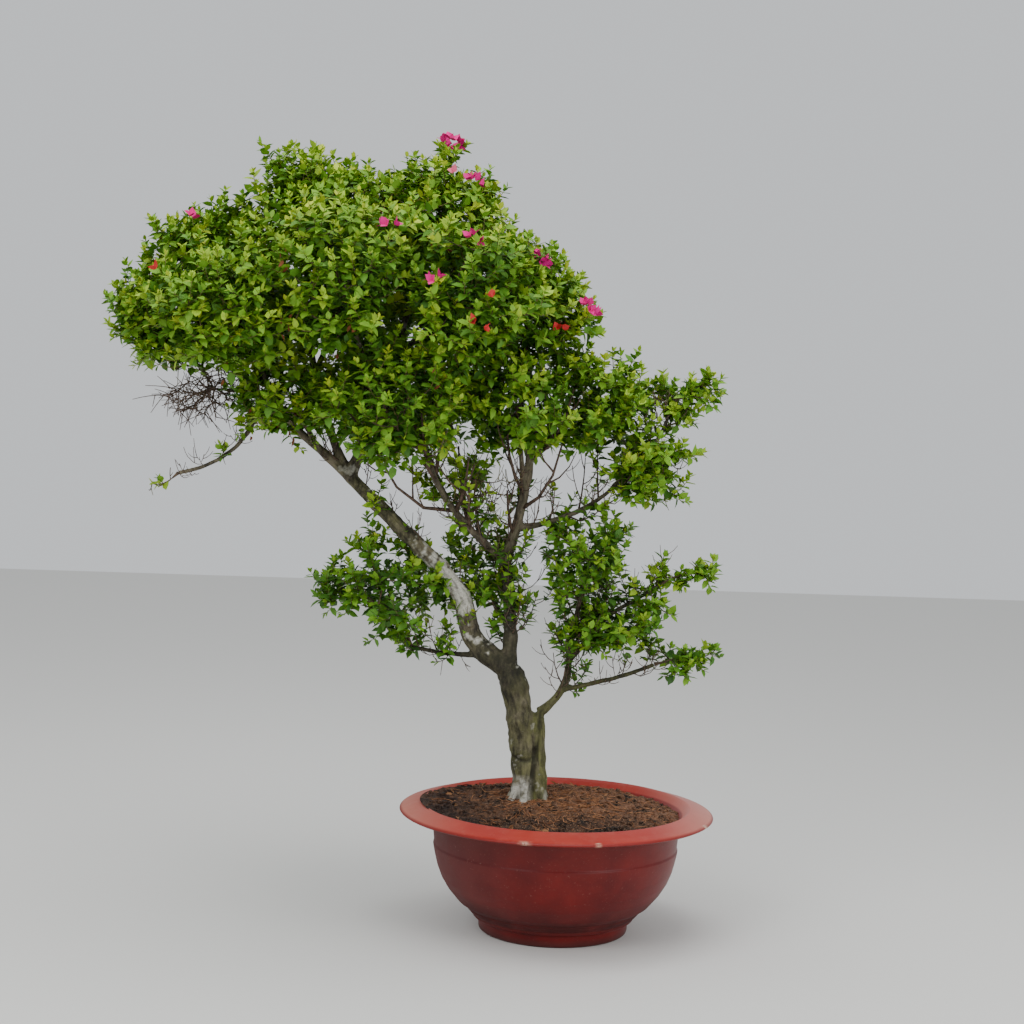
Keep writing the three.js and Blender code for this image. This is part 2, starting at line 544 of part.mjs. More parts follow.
// Each limb is cut clear of the trunk and of the limbs before it. Twigs and leaves are tested
// against thicker limbs, so that they keep further away.
const thickened = (name, grow) => limbSolid(tubes.get(name), grow);
let limbSolids = thickened('trunk', GAP).add(thickened('side_stem', GAP));
let guard = thickened('trunk', LIMB_CLEARANCE).add(thickened('side_stem', LIMB_CLEARANCE));
for (const { name } of limbs) {
  plant.add(meshOf(name, mainBody(limbSolid(tubes.get(name)).subtract(limbSolids)), bark));
  limbSolids = limbSolids.add(thickened(name, GAP));
  guard = guard.add(thickened(name, LIMB_CLEARANCE));
}

for (const [index, mass] of masses.entries()) {
  plant.add(meshOf(mass.name, makeMass(mass, index + 1, limbSolids, guard), mass.bare ? bark : foliage));
}

export default plant;
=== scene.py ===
"""A bougainvillea bush trained as a leaning tree, standing in a wide round pot.

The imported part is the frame. The limbs and the masses of foliage repeat the part's own tables, in
millimetres from the middle of the pot's underside, +X to the right and +Y away from the camera.
Bark, twigs, leaves and blossom grow on them here by the part's rule, carried to finer twigs.
"""

import math
from types import SimpleNamespace

import bpy
import numpy as np
from mathutils import Matrix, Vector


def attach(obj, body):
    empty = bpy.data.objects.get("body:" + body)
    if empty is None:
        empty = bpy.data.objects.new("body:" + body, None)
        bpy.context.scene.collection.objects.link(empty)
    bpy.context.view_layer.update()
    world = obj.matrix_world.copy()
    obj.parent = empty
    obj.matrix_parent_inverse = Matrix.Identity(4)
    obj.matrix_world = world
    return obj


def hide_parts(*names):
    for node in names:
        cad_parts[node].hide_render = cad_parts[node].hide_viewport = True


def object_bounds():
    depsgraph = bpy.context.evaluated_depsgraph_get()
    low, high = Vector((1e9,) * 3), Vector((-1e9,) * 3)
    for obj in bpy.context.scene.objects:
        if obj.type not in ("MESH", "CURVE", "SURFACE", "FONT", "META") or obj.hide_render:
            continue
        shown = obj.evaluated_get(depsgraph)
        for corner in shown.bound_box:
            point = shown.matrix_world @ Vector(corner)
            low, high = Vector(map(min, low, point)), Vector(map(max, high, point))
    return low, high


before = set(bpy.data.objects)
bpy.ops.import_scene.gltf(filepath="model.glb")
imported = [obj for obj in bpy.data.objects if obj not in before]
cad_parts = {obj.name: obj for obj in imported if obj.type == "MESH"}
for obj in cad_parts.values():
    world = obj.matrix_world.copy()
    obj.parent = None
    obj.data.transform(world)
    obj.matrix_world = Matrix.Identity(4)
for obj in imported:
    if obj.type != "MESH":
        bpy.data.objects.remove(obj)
cad_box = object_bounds()

MM = 0.001
UP = np.array([0.0, 0.0, 1.0])
GOLDEN_ANGLE = math.pi * (3 - math.sqrt(5))
draw = np.random.default_rng(2207)

# The camera: where it stands, in metres, how far it looks down and is rolled, in degrees, and its lens and
# the width of its picture, in mm.
CAMERA_PLACE = (-0.137, -5.056, 1.376)
CAMERA_DOWN = 3.514
CAMERA_ROLL = 1.8
LENS = 70.3
SENSOR_WIDTH = 36
FLOOR_REACH = 9000  # from the middle to each side, in mm

# The lights: name, place and aim in metres, size in metres and power in watts.
LIGHTS = [("overhead", (-0.4, -0.6, 4.6), (-0.35, 0, 1.0), 3.6, 120),
          ("key", (-2.6, -3.6, 3.6), (-0.35, 0, 1.1), 2.4, 85),
          ("fill", (3.2, -3.2, 2.0), (-0.2, 0, 0.9), 2.6, 78)]

# Driving sizes of the pot and its soil, as in the part.
RIM_RADIUS = 400
MOUTH_RADIUS = 332
NECK_RADIUS = 319
FOOT_RADIUS = 190
FLANGE_TOP = 325
FLANGE_DROP = 16
LIP = 11
MOUTH_DEPTH = 30
WALL = 12
FLOOR = 20
SOIL_EDGE = 310
SOIL_TOP = 335
SOIL_REACH = 319
SOIL_HEAP = 30  # how much farther the soil reaches on the left, where it is heaped over the mouth's edge
POT_SIDES = 240
# Worn and chipped places on the lip, by their bearing in degrees: how wide and how deep, in mm.
CHIPS = [(-102, 10, 2.4), (-76, 5, 1.0), (-22, 8, 0.6), (40, 12, 2.0), (118, 14, 1.8)]
SOIL_RINGS, SOIL_SIDES = 84, 240
CRUMBS, FIBRES, LITTER_BITS = 2000, 760, 90  # how many lie on the soil

# Driving sizes of the trunk, as in the part.
TRUNK_FOOT = (-86, 0, SOIL_TOP - 30)
TRUNK_REACH = (-48, 0, 359)
TRUNK_BOW = (22, 0, 0)
TRUNK_GIRTH = (36, 34)
SIDE_STEM_FOOT = (-48, -14, SOIL_TOP - 30)
SIDE_STEM_REACH = (-6, 12, 251)
SIDE_STEM_BOW = (4, 0, 0)
SIDE_STEM_GIRTH = (21, 14)
TOE_MIDDLE = (-72, -5)
TOE_ANGLES = (-155, -105, -35, 25, 95, 165)
TOE_RISE = 95
TOE_SINK = 16
TOE_START = 14
TOE_SPREAD = 56
TOE_BOW = 8
TOE_GIRTH = (16, 11)

# Bark, in mm: the grid on which limbs grow together, the sides of a limb before that, and how deep the crease
# between the stems and how high the lump beside it are.
BARK_GRID = 3.2
LIMB_SIDES = 20
CREASE_DEPTH = 7
LUMP_HEIGHT = 4
BLOCK = 4096  # how many points are compared with the limbs at a time

# The rule by which limbs and twigs grow, as in the part.
SIDE_SWING = 0.08
LIMB_ENTRY = 0.62
FARTHEST_ENTRY = 0.85
DRAW_IN = 0.95
HEART = 0.55
ENTRY_DEPTH = 10
PATH_PULL = 0.35
SHOOT_WIDTH = 70
SPREAD_BASE = 1.2207440846


def limb(name, on, at, bears=None, reach=None, via=None, bow=(0, 0, 0), girth=(8, 6)):
    """One row of the limb table: name, parent, share of the parent's length, mass borne, shape, radii."""
    return SimpleNamespace(name=name, on=on, at=at, bears=bears, reach=reach, via=via, bow=bow, girth=girth)


LIMBS = [
    limb("left_bough", "trunk", 1, reach=(-416, 0, 479), via=[(-89, 0, 71), (-134, 0, 195)], girth=(27, 16)),
    limb("centre_bough", "trunk", 1, reach=(-16, 10, 279), bow=(8, 6, 0), girth=(19, 14)),
    limb("right_bough", "side_stem", 1, reach=(73, 2, 144), bow=(20, 0, -12), girth=(11, 9)),
    limb("left_limb", "left_bough", 1, "foliage_far_left", bow=(20, 0, -26), girth=(12, 8)),
    limb("middle_limb", "left_bough", 1, "foliage_top_left", bow=(-34, 30, -20), girth=(12, 7)),
    limb("right_limb", "left_bough", 1, "foliage_top_right", bow=(40, 0, -50), girth=(14, 7)),
    limb("centre_left_limb", "centre_bough", 1, "foliage_low_front", bow=(-30, 0, -46), girth=(10, 7)),
    limb("centre_right_limb", "centre_bough", 1, "foliage_right_edge", bow=(44, 0, -30), girth=(14, 8)),
    limb("left_front_limb", "left_limb", 0.4, "foliage_left_front"),
    limb("low_left_limb", "left_limb", 0.2, "foliage_low_left", girth=(7, 6)),
    limb("bare_left_limb", "left_limb", 0.62, "bare_twigs_left", girth=(6, 5.4)),
    limb("left_back_limb", "middle_limb", 0.3, "foliage_left_back"),
    limb("left_top_limb", "middle_limb", 0.62, "foliage_left_top", girth=(7, 6)),
    limb("mid_back_limb", "middle_limb", 0.46, "foliage_mid_back"),
    limb("mid_front_limb", "right_limb", 0.24, "foliage_mid_front"),
    limb("right_front_limb", "right_limb", 0.5, "foliage_right_front"),
    limb("right_back_limb", "right_limb", 0.38, "foliage_right_back"),
    limb("low_back_limb", "centre_left_limb", 0.55, "foliage_low_back", girth=(7, 6)),
    limb("low_right_limb", "centre_right_limb", 0.3, "foliage_low_right"),
    limb("shoulder_limb", "centre_right_limb", 0.5, "foliage_shoulder"),
    limb("right_arm", "centre_right_limb", 0.16, "foliage_arm", bow=(20, 0, -40), girth=(9, 5)),
    limb("spray_limb", "right_arm", 0.94, "foliage_spray", bow=(20, 0, 0), girth=(6, 5.4)),
    limb("low_left_bough", "left_bough", 0.1, "foliage_low_bough", reach=(-196, 34, 10), bow=(0, 0, -8),
         girth=(8, 5)),
    limb("low_centre_limb", "centre_bough", 0.3, "foliage_low_centre", girth=(7, 6)),
    limb("right_mid_limb", "right_bough", 1, "foliage_right_mid"),
    limb("right_low_limb", "right_bough", 0.95, "foliage_right_low", girth=(7, 6)),
    limb("right_tip_limb", "right_bough", 0.5, "foliage_right_tip", bow=(0, 0, -22), girth=(7, 5.4)),
    limb("right_up_limb", "right_mid_limb", 0.3, "foliage_right_up", bow=(0, 0, -20), girth=(6, 5.4)),
    limb("hanging_twig", "left_limb", 0.6, "foliage_hanging", bow=(52, 0, -48), girth=(6, 5.4)),
    limb("inner_limb", "centre_left_limb", 0.2, "foliage_inner", girth=(6, 5.4)),
]


DENSE, OPEN, BARE = "dense", "open", "bare"


def mass(name, middle, half, twigs, kind=DENSE, tip=None, tips=(), leafy=1.0, floor=0):
    """One row of the mass table: the oval space, how many main twigs fill it, the end of the shoot that
    stands out of it, more tips that it must reach, the share of its twigs that bear leaves, and the height
    below which none do."""
    return SimpleNamespace(name=name, middle=np.array(middle, float), half=np.array(half, float), twigs=twigs,
                           kind=kind, tip=None if tip is None else np.array(tip, float), tips=tips,
                           leafy=leafy, floor=floor)


MASSES = [
    mass("foliage_far_left", (-1000, 0, 1540), (172, 245, 172), 64, tip=(-1105, 0, 1520), floor=1395,
         tips=[(-1142, 0, 1515), (-1096, -20, 1612), (-1062, 10, 1690)]),
    mass("foliage_left_front", (-825, -245, 1560), (235, 215, 180), 64, floor=1400),
    mass("foliage_left_back", (-825, 250, 1565), (235, 215, 180), 64, floor=1410),
    mass("foliage_left_top", (-870, 0, 1682), (225, 235, 150), 62, tips=[(-992, 0, 1752), (-862, 20, 1786)]),
    mass("foliage_top_left", (-640, 0, 1800), (225, 235, 152), 62, tip=(-762, 0, 1912),
         tips=[(-764, 0, 1950), (-738, -30, 1905), (-672, 0, 1915), (-600, 20, 1888), (-532, 0, 1900)]),
    mass("foliage_mid_front", (-555, -260, 1620), (240, 215, 230), 68),
    mass("foliage_mid_back", (-555, 265, 1635), (240, 215, 230), 68),
    mass("foliage_top_right", (-355, 0, 1790), (215, 230, 145), 62, tip=(-320, 0, 1940),
         tips=[(-318, 0, 1972), (-334, -30, 1930), (-428, 0, 1938), (-246, 0, 1866)]),
    mass("foliage_right_front", (-265, -235, 1600), (235, 215, 225), 66),
    mass("foliage_right_back", (-265, 240, 1620), (235, 215, 225), 66),
    mass("foliage_right_edge", (-108, 0, 1565), (178, 245, 205), 58,
         tips=[(-160, 0, 1745), (-58, 0, 1705), (-14, 0, 1622), (42, -10, 1545)]),
    mass("foliage_low_front", (-430, -195, 1350), (225, 215, 190), 54),
    mass("foliage_low_back", (-430, 225, 1365), (230, 215, 195), 54),
    mass("foliage_low_right", (-135, -50, 1365), (200, 235, 170), 46),
    mass("foliage_low_left", (-700, -60, 1330), (185, 215, 130), 34, OPEN),
    mass("foliage_shoulder", (70, 10, 1330), (175, 210, 155), 40, OPEN, tips=[(60, 0, 1440), (150, 0, 1350)]),
    mass("foliage_arm", (200, -30, 1190), (135, 150, 115), 22, OPEN, leafy=0.8),
    mass("foliage_spray", (285, 0, 1385), (130, 105, 90), 9, OPEN, tip=(335, 0, 1405),
         tips=[(372, 0, 1412), (330, 15, 1398)]),
    mass("foliage_inner", (-240, 0, 1125), (170, 160, 110), 26, OPEN, leafy=0.3),
    mass("foliage_low_bough", (-440, 45, 860), (235, 175, 160), 30, OPEN, tip=(-590, 45, 830),
         tips=[(-622, 45, 842), (-600, 30, 885)]),
    mass("foliage_low_centre", (-215, 90, 905), (145, 155, 135), 16, OPEN),
    mass("foliage_right_mid", (60, 0, 955), (165, 165, 135), 20, OPEN),
    mass("foliage_right_low", (150, -10, 800), (165, 150, 105), 16, OPEN),
    mass("foliage_right_tip", (310, -10, 712), (140, 90, 70), 6, OPEN, tip=(350, 0, 710),
         tips=[(382, 0, 712), (330, 10, 700)]),
    mass("foliage_right_up", (295, 0, 925), (130, 85, 65), 6, OPEN, tip=(335, 0, 928), tips=[(380, 0, 926)]),
    mass("foliage_hanging", (-1000, -110, 1112), (115, 75, 60), 2, OPEN, leafy=0.7, tip=(-1045, -110, 1115),
         tips=[(-1052, -110, 1118)]),
    mass("bare_twigs_left", (-930, 0, 1358), (135, 135, 92), 60, BARE),
]

# Where blossom opens on the side that the camera sees: left to right, height and number of flowers.
MAGENTA_BLOSSOM = [(-304, 1966, 12), (-236, 1872, 4), (-464, 1774, 3), (-256, 1733, 3), (-101, 1690, 5),
                   (-347, 1632, 3), (38, 1562, 8), (-973, 1758, 2)]
SCARLET_BLOSSOM = [(-260, 1548, 2), (-181, 1556, 1), (-20, 1486, 2), (-1079, 1652, 1)]
PINK_BLOSSOM = [(-299, 1879, 1)]
MORE_BLOSSOM = (13, 4, 2)  # magenta, scarlet and pink clusters on the other sides
DRY_LEAVES = [(-948, 1262), (-807, 1290), (-661, 1232), (-764, 1671), (-572, 1502), (-560, 1560),
              (-395, 1745), (-300, 1420), (-700, 1480)]

# Twigs, in mm.
TIP_RADIUS = 1.1
LOAD_POWER = 0.42  # how a twig's radius grows with the number of tips that it feeds
JOIN_STEP = 35  # between the places of a twig that others may join
SHORTEST_TWIG = 25
TIP_DEPTH = 6  # how deep in its space a scattered tip lies at least
TIP_SHARES = {DENSE: (0.45, 0.86), OPEN: (0.3, 0.84), BARE: (0.3, 0.98)}  # how far out tips lie
AIMS = {DENSE: (0.5, 0.8), OPEN: (0.85, 0.4), BARE: (0.7, -0.1)}  # how far twigs turn outward and up
PATH_RINGS = 7
SHOOT_RINGS = 4
TIP_SHORT = 22  # twigs end this far inside the tips of the table, and their leaves reach them
CROWN_MIDDLE, CROWN_HALF = np.array([-500.0, 0, 1500]), np.array([640.0, 430, 460])
# The nearest and farthest from the camera that tips reach: their leaves end at the part's own box.
NEAR_TIP, FAR_TIP = cad_box[0][1] / MM + 32, cad_box[1][1] / MM - 32

# Leaves, in mm.
LEAF_LENGTH = 30
LEAF_WIDTH = 20
LEAF_STATIONS = np.array([0.24, 0.62])
LEAF_WIDTHS = np.array([0.92, 0.84])
BLADE_POINTS = 8

# How leaves stand on a shoot: how many, the gap between them and how fast it grows, in mm.
TWIG_LEAVES = (16, 3.4, 0.3)
SHOOT_LEAVES = (11, 3.0, 0.3)
SPUR_LEAVES = (10, 4.0, 0.4)
FORK_LEAVES = (9, 3.2, 0.35)

# Where shoots leave their twigs, as shares of a twig's length, and their least and greatest length in mm.
SHOOT_SHARES, SHOOT_REACH = (0.32, 0.5, 0.67, 0.82), (40, 78)
FORK_SHARES = (0.3, 0.5, 0.74)
END_SHARES, END_REACH = (0.5, 0.85), (18, 50)
BARE_SHARES, BARE_REACH = (0.35, 0.55, 0.75, 0.92), (25, 70)
SLIM = 130  # a mass slimmer than this has shorter shoots

# Bracts and dry leaves: least and greatest length and width in mm, droop and fold.
BRACT = [(19, 25), (15, 19), (0.0, 0.25), (-0.1, 0.4)]
DRY_LEAF = [(14, 26), (5, 11), (-0.5, 0.5), (0.3, 1.2)]
LITTER_BIT = [(8, 22), (4, 10), (-0.2, 0.4), (0.1, 0.9)]


def unit(vectors):
    """Vectors scaled to length one."""
    return vectors / np.maximum(np.linalg.norm(vectors, axis=-1, keepdims=True), 1e-9)


def lerp(a, b, share):
    """The point a share of the way from a to b."""
    return a + (b - a) * share


def fade(values, none, full):
    """A share that is 0 at none and 1 at full, even between them and level beyond."""
    return np.clip((values - none) / (full - none), 0, 1)


def bell(values, middle, width, power=2):
    """A share that is 1 at middle and about a third at width from it, with steeper sides for more power."""
    return np.exp(-(np.abs(values - middle) / width) ** power)


def swell(places, size, seed):
    """Smooth unevenness between about -1 and 1: a third of the sum of eight plane waves in scattered
    directions, with lengths from half to twice size."""
    waves = np.random.default_rng(seed)
    headings = unit(waves.normal(size=(8, 3)))
    lengths = size * 2.0 ** waves.uniform(-1, 1, 8)
    phases = waves.uniform(0, 2 * math.pi, 8)
    return np.sin(places @ headings.T * (2 * math.pi / lengths) + phases).sum(-1) / 3


def make_mesh(name, points, *face_lists):
    """A smooth-shaded mesh of points in mm and of lists of triangles or quads, as arrays."""
    corners = np.concatenate([faces.ravel() for faces in face_lists])
    sizes = np.concatenate([np.full(len(faces), faces.shape[1]) for faces in face_lists])
    mesh = bpy.data.meshes.new(name)
    mesh.vertices.add(len(points))
    mesh.vertices.foreach_set("co", (points * MM).astype(np.float32).ravel())
    mesh.loops.add(len(corners))
    mesh.loops.foreach_set("vertex_index", corners.astype(np.int32))
    mesh.polygons.add(len(sizes))
    mesh.polygons.foreach_set("loop_start", (np.cumsum(sizes) - sizes).astype(np.int32))
    mesh.polygons.foreach_set("use_smooth", np.ones(len(sizes), bool))
    mesh.update(calc_edges=True)
    return mesh


def show(name, data):
    """Puts a mesh, light or camera into the scene as an object."""
    thing = bpy.data.objects.new(name, data)
    bpy.context.scene.collection.objects.link(thing)
    return thing


def place_piece(mesh, material, slot, **numbers):
    """Shows a mesh as a piece that rides with the plant, with material as its finish; slot is not used.
    numbers hold one value for each point, which the finish reads."""
    for name, values in numbers.items():
        mesh.attributes.new(name, "FLOAT", "POINT").data.foreach_set("value", values.astype(np.float32))
    mesh.materials.append(material)
    piece = show(mesh.name, mesh)
    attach(piece, "root")
    return piece


def linear(colour):
    """An sRGB hex colour as linear light, with alpha."""
    parts = [int(colour[k:k + 2], 16) / 255 for k in (1, 3, 5)]
    return (*[c / 12.92 if c <= 0.04045 else ((c + 0.055) / 1.055) ** 2.4 for c in parts], 1.0)


def add_node(tree, kind, links=None, **settings):
    """Adds a node: links sets its inputs, by name or number, to a value or to another node's output."""
    node = tree.nodes.new("ShaderNode" + kind)
    for name, value in settings.items():
        setattr(node, name, value)
    for socket, value in (links or {}).items():
        if isinstance(value, bpy.types.NodeSocket):
            tree.links.new(value, node.inputs[socket])
        else:
            node.inputs[socket].default_value = value
    return node


def new_material(name, roughness, ior=1.5):
    """A material: returns it, its node tree and the sockets of its shader."""
    material = bpy.data.materials.new(name)
    material.use_nodes = True
    sockets = material.node_tree.nodes["Principled BSDF"].inputs
    sockets["Roughness"].default_value = roughness
    sockets["IOR"].default_value = ior
    return material, material.node_tree, sockets


def mix(tree, share, first, second):
    """Mixes two colours, each a socket, a linear value or an sRGB hex colour, by a share."""
    first, second = (linear(colour) if isinstance(colour, str) else colour for colour in (first, second))
    return add_node(tree, "Mix", {0: share, 6: first, 7: second}, data_type="RGBA").outputs[2]


def coats(tree, colour, *layers):
    """Lays coats over a colour: each is a share and the colour that it brings."""
    for share, coat in layers:
        colour = mix(tree, share, colour, coat)
    return colour


def ramp(tree, value, low, high, to_low=0.0, to_high=1.0):
    """Maps a number from the range low to high on to to_low to to_high, and holds it there."""
    links = {0: value, 1: low, 2: high, 3: to_low, 4: to_high}
    return add_node(tree, "MapRange", links, clamp=True).outputs[0]


def noise(tree, place, size_mm, detail=4.0, roughness=0.55):
    """Noise whose patches are about size_mm across."""
    return add_node(tree, "TexNoise", {"Vector": place, "Scale": 1 / (size_mm * MM), "Detail": detail,
                                       "Roughness": roughness}).outputs[0]


def product(tree, first, second, operation="MULTIPLY"):
    """Two numbers combined, multiplied unless operation says otherwise."""
    return add_node(tree, "Math", {0: first, 1: second}, operation=operation).outputs[0]


def add_bump(tree, sockets, height, distance_mm, strength):
    """Small relief from a height pattern."""
    bump = add_node(tree, "Bump", {"Height": height, "Strength": strength, "Distance": distance_mm * MM})
    tree.links.new(bump.outputs[0], sockets["Normal"])


def attribute(tree, name):
    """A number stored on the mesh."""
    return add_node(tree, "Attribute", attribute_name=name).outputs["Fac"]


def object_place(tree):
    """Object coordinates."""
    return add_node(tree, "TexCoord").outputs["Object"]


def fired_clay():
    """Red earthenware under a thin worn slip. The body is a deep red with a soft gloss, greyed by weather on
    the left and by dust low down; the flange has a painted sheen that makes it paler towards its left and
    right ends, and painted shade on its outer lip."""
    material, tree, sockets = new_material("fired_clay_slip", 0.5, 1.36)
    place = object_place(tree)
    x, _, z = add_node(tree, "SeparateXYZ", {0: place}).outputs
    cloud, grain = noise(tree, place, 90), noise(tree, place, 6, 5)
    weather = product(tree, ramp(tree, x, -0.1, -0.28), ramp(tree, cloud, 0.28, 0.55, 0.35, 1.0))
    # Dust that rain splashes up lies between the foot and the turn of the wall.
    splash = product(tree, ramp(tree, z, 0.12, 0.06), ramp(tree, z, 0.03, 0.05))
    splash = product(tree, splash, ramp(tree, noise(tree, place, 60), 0.3, 0.6, 0.45, 1.0))
    body = coats(tree, "#56090a",
                 (ramp(tree, cloud, 0.35, 0.68), "#6c120f"),
                 (product(tree, weather, 0.72), "#5a3230"),
                 (ramp(tree, x, 0.2, 0.31, 0.0, 0.12), "#6b2a26"),
                 (product(tree, splash, 0.75), "#2e1211"),
                 (ramp(tree, z, 0.022, 0.008, 0.0, 0.6), "#3a2522"),
                 (ramp(tree, noise(tree, place, 9, 2), 0.71, 0.77, 0.0, 0.35), "#8a6a60"))
    flange = coats(tree, "#9c261e",
                   (ramp(tree, cloud, 0.3, 0.7), "#a93a2f"),
                   # Painted sheen: the flange is paler towards its left and right ends.
                   (ramp(tree, product(tree, x, x), 0.045, 0.15, 0.0, 0.8), "#c07c6c"),
                   (ramp(tree, noise(tree, place, 24), 0.52, 0.74, 0.0, 0.35), "#a9574a"),
                   # Painted shade: the flange's outer lip, below its top face, is darker.
                   (ramp(tree, z, 0.31, 0.3065, 0.0, 0.85), "#761410"))
    chips = product(tree, attribute(tree, "chip"), ramp(tree, noise(tree, place, 7, 3), 0.36, 0.5))
    colour = coats(tree, body, (ramp(tree, z, 0.2985, 0.3035), flange),
                   (ramp(tree, grain, 0.62, 0.78, 0.0, 0.16), "#b98a7c"), (chips, "#c4a58e"))
    tree.links.new(colour, sockets["Base Color"])
    tree.links.new(ramp(tree, product(tree, splash, weather, "ADD"), 0, 1, 0.4, 0.7), sockets["Roughness"])
    add_bump(tree, sockets, grain, 0.5, 0.35)
    return material


def potting_soil():
    """Moist potting soil: nearly black where damp, most of all on the left, and red-brown where coir lies dry
    on it."""
    material, tree, sockets = new_material("potting_soil", 0.92, 1.4)
    place = object_place(tree)
    x, y, _ = add_node(tree, "SeparateXYZ", {0: place}).outputs
    clods, fine = noise(tree, place, 34, 6, 0.7), noise(tree, place, 4, 4, 0.7)
    dry = product(tree, ramp(tree, y, -0.22, -0.1, 0.0, 0.8), ramp(tree, clods, 0.38, 0.55))
    damp = product(tree, ramp(tree, x, -0.1, -0.24, 0.0, 0.8), ramp(tree, clods, 0.66, 0.46, 0.5, 1.0))
    colour = coats(tree, "#0e0a08", (ramp(tree, clods, 0.42, 0.6), "#4c3324"), (dry, "#7d573f"),
                   (ramp(tree, fine, 0.52, 0.72), "#a17c60"), (damp, "#20130f"))
    tree.links.new(colour, sockets["Base Color"])
    add_bump(tree, sockets, fine, 3.0, 0.9)
    return material


def old_bark():
    """Bark of an old stem: grey-brown ridges over furrows darkened as painted shade, olive where moss films
    it, and dry pale crust in patches. The fork, the centre bough and the crease between the stems are painted
    dark as shade."""
    material, tree, sockets = new_material("old_bark", 0.88, 1.45)
    place = object_place(tree)
    stretched = add_node(tree, "Mapping", {0: place, 3: (1.0, 1.0, 0.35)}).outputs[0]
    streaks = product(tree, product(tree, noise(tree, stretched, 14, 6, 0.65), 0.55),
                      product(tree, noise(tree, stretched, 42, 3), 0.45), "ADD")
    grain = noise(tree, place, 3.5, 4, 0.7)
    streaky = ramp(tree, streaks, 0.38, 0.62)
    colour = coats(tree, mix(tree, streaky, "#28231b", "#736a56"),
                   (attribute(tree, "moss"), mix(tree, streaky, "#26270f", "#6f7040")),
                   (ramp(tree, grain, 0.55, 0.8, 0.0, 0.5), "#958a76"),
                   (attribute(tree, "crust"), mix(tree, ramp(tree, grain, 0.3, 0.7), "#8f8c80", "#cfccc2")),
                   # Painted shade on the fork, the centre bough and the crease between the stems.
                   (product(tree, attribute(tree, "damp"), 0.86), "#17160d"),
                   # Painted shade in the furrows: the bark is darker where the ridge value is low.
                   (ramp(tree, attribute(tree, "ridge"), 0.0, 0.55, 0.6, 0.0), "#1d1711"))
    tree.links.new(colour, sockets["Base Color"])
    add_bump(tree, sockets, product(tree, streaks, grain, "ADD"), 1.2, 0.7)
    return material


def mottled(name, dark, light, size_mm=9, detail=4, coarseness=0.6, low=0.35, roughness=0.75, ior=1.45):
    """Thin bark of twigs, or dry fibre: two close tones in small patches."""
    material, tree, sockets = new_material(name, roughness, ior)
    patches = noise(tree, object_place(tree), size_mm, detail, coarseness)
    tree.links.new(mix(tree, ramp(tree, patches, low, 1 - low), dark, light), sockets["Base Color"])
    return material


def leaf_skin(name, colour, rib_colour, roughness=0.6, ior=1.36):
    """A leaf's cuticle: a soft waxy sheen, with each leaf a little lighter or darker than the next."""
    material, tree, sockets = new_material(name, roughness, ior)
    dark, light = ((*(min(1.0, c * gain) for c in linear(colour)[:3]), 1.0) for gain in (0.82, 1.18))
    tone = coats(tree, mix(tree, attribute(tree, "shade"), dark, light),
                 (product(tree, attribute(tree, "rib"), 0.28), rib_colour))
    tree.links.new(tone, sockets["Base Color"])
    return material


# Lines: the paths that limbs follow.

def line_of(points):
    """A centreline as close points with the length run up to each."""
    runs = np.concatenate([[0], np.cumsum(np.linalg.norm(np.diff(points, axis=0), axis=1))])
    return SimpleNamespace(points=points, runs=runs, length=runs[-1])


def point_at(line, shares):
    """Points at shares of a line's length."""
    runs = np.asarray(shares) * line.length
    return np.stack([np.interp(runs, line.runs, line.points[:, k]) for k in range(3)], -1)


def heading_at(line, shares):
    """Directions of a line at shares of its length."""
    shares = np.asarray(shares, float)
    return unit(point_at(line, np.minimum(shares + 0.01, 1)) - point_at(line, np.maximum(shares - 0.01, 0)))


def bowed(foot, tip, bow):
    """A quadratic curve from foot to tip, whose middle is moved off the straight line by bow."""
    share = np.linspace(0, 1, 200)[:, None]
    control = (foot + tip) / 2 + 2 * bow
    return line_of((1 - share) ** 2 * foot + 2 * share * (1 - share) * control + share ** 2 * tip)


def through(points):
    """A centripetal Catmull-Rom curve through a few points: each stretch is the cubic whose end tangents come
    from the roots of the distances to its neighbours."""
    points = np.array([2 * points[0] - points[1], *points, 2 * points[-1] - points[-2]])
    share = np.linspace(0, 1, 80)[:, None]
    stretches = []
    for a, b, c, d in zip(points, points[1:], points[2:], points[3:]):
        before, here, after = (np.sqrt(np.linalg.norm(q - p)) for p, q in ((a, b), (b, c), (c, d)))
        start = ((b - a) / before - (c - a) / (before + here) + (c - b) / here) * here
        end = ((c - b) / here - (d - b) / (here + after) + (d - c) / after) * here
        cubic = (b + start * share + (3 * (c - b) - 2 * start - end) * share ** 2
                 + (2 * (b - c) + start + end) * share ** 3)
        stretches.append(cubic)
    return line_of(np.concatenate(stretches))


def depth_inside(places, space):
    """How deep places lie in a mass's space, in mm: its oval and the room round its shoot, less what lies
    nearer to another mass. The border between two is the plane on which spheres of their mean half-sizes
    would meet."""
    depth = (1 - np.linalg.norm((places - space.middle) / space.half, axis=-1)) * space.half.min()
    if space.tip is not None:
        run = space.tip - space.middle
        share = np.clip((places - space.middle) @ run / (run @ run), 0, 1)
        gap = np.linalg.norm(places - space.middle - share[..., None] * run, axis=-1)
        depth = np.maximum(depth, SHOOT_WIDTH - gap)
    for other in MASSES:
        if other is space:
            continue
        power, other_power = (((places - m.middle) ** 2).sum(-1) - m.half.mean() ** 2 for m in (space, other))
        depth = np.minimum(depth, (other_power - power) / (2 * np.linalg.norm(other.middle - space.middle)))
    return depth


def entry_to(space, foot):
    """Where a limb that sets off at foot ends, inside the space of the mass that it bears."""
    share = min(FARTHEST_ENTRY, LIMB_ENTRY / np.linalg.norm((foot - space.middle) / space.half))
    while depth_inside(lerp(space.middle, foot, share), space) < ENTRY_DEPTH:
        share *= DRAW_IN
    return lerp(space.middle, foot, share)


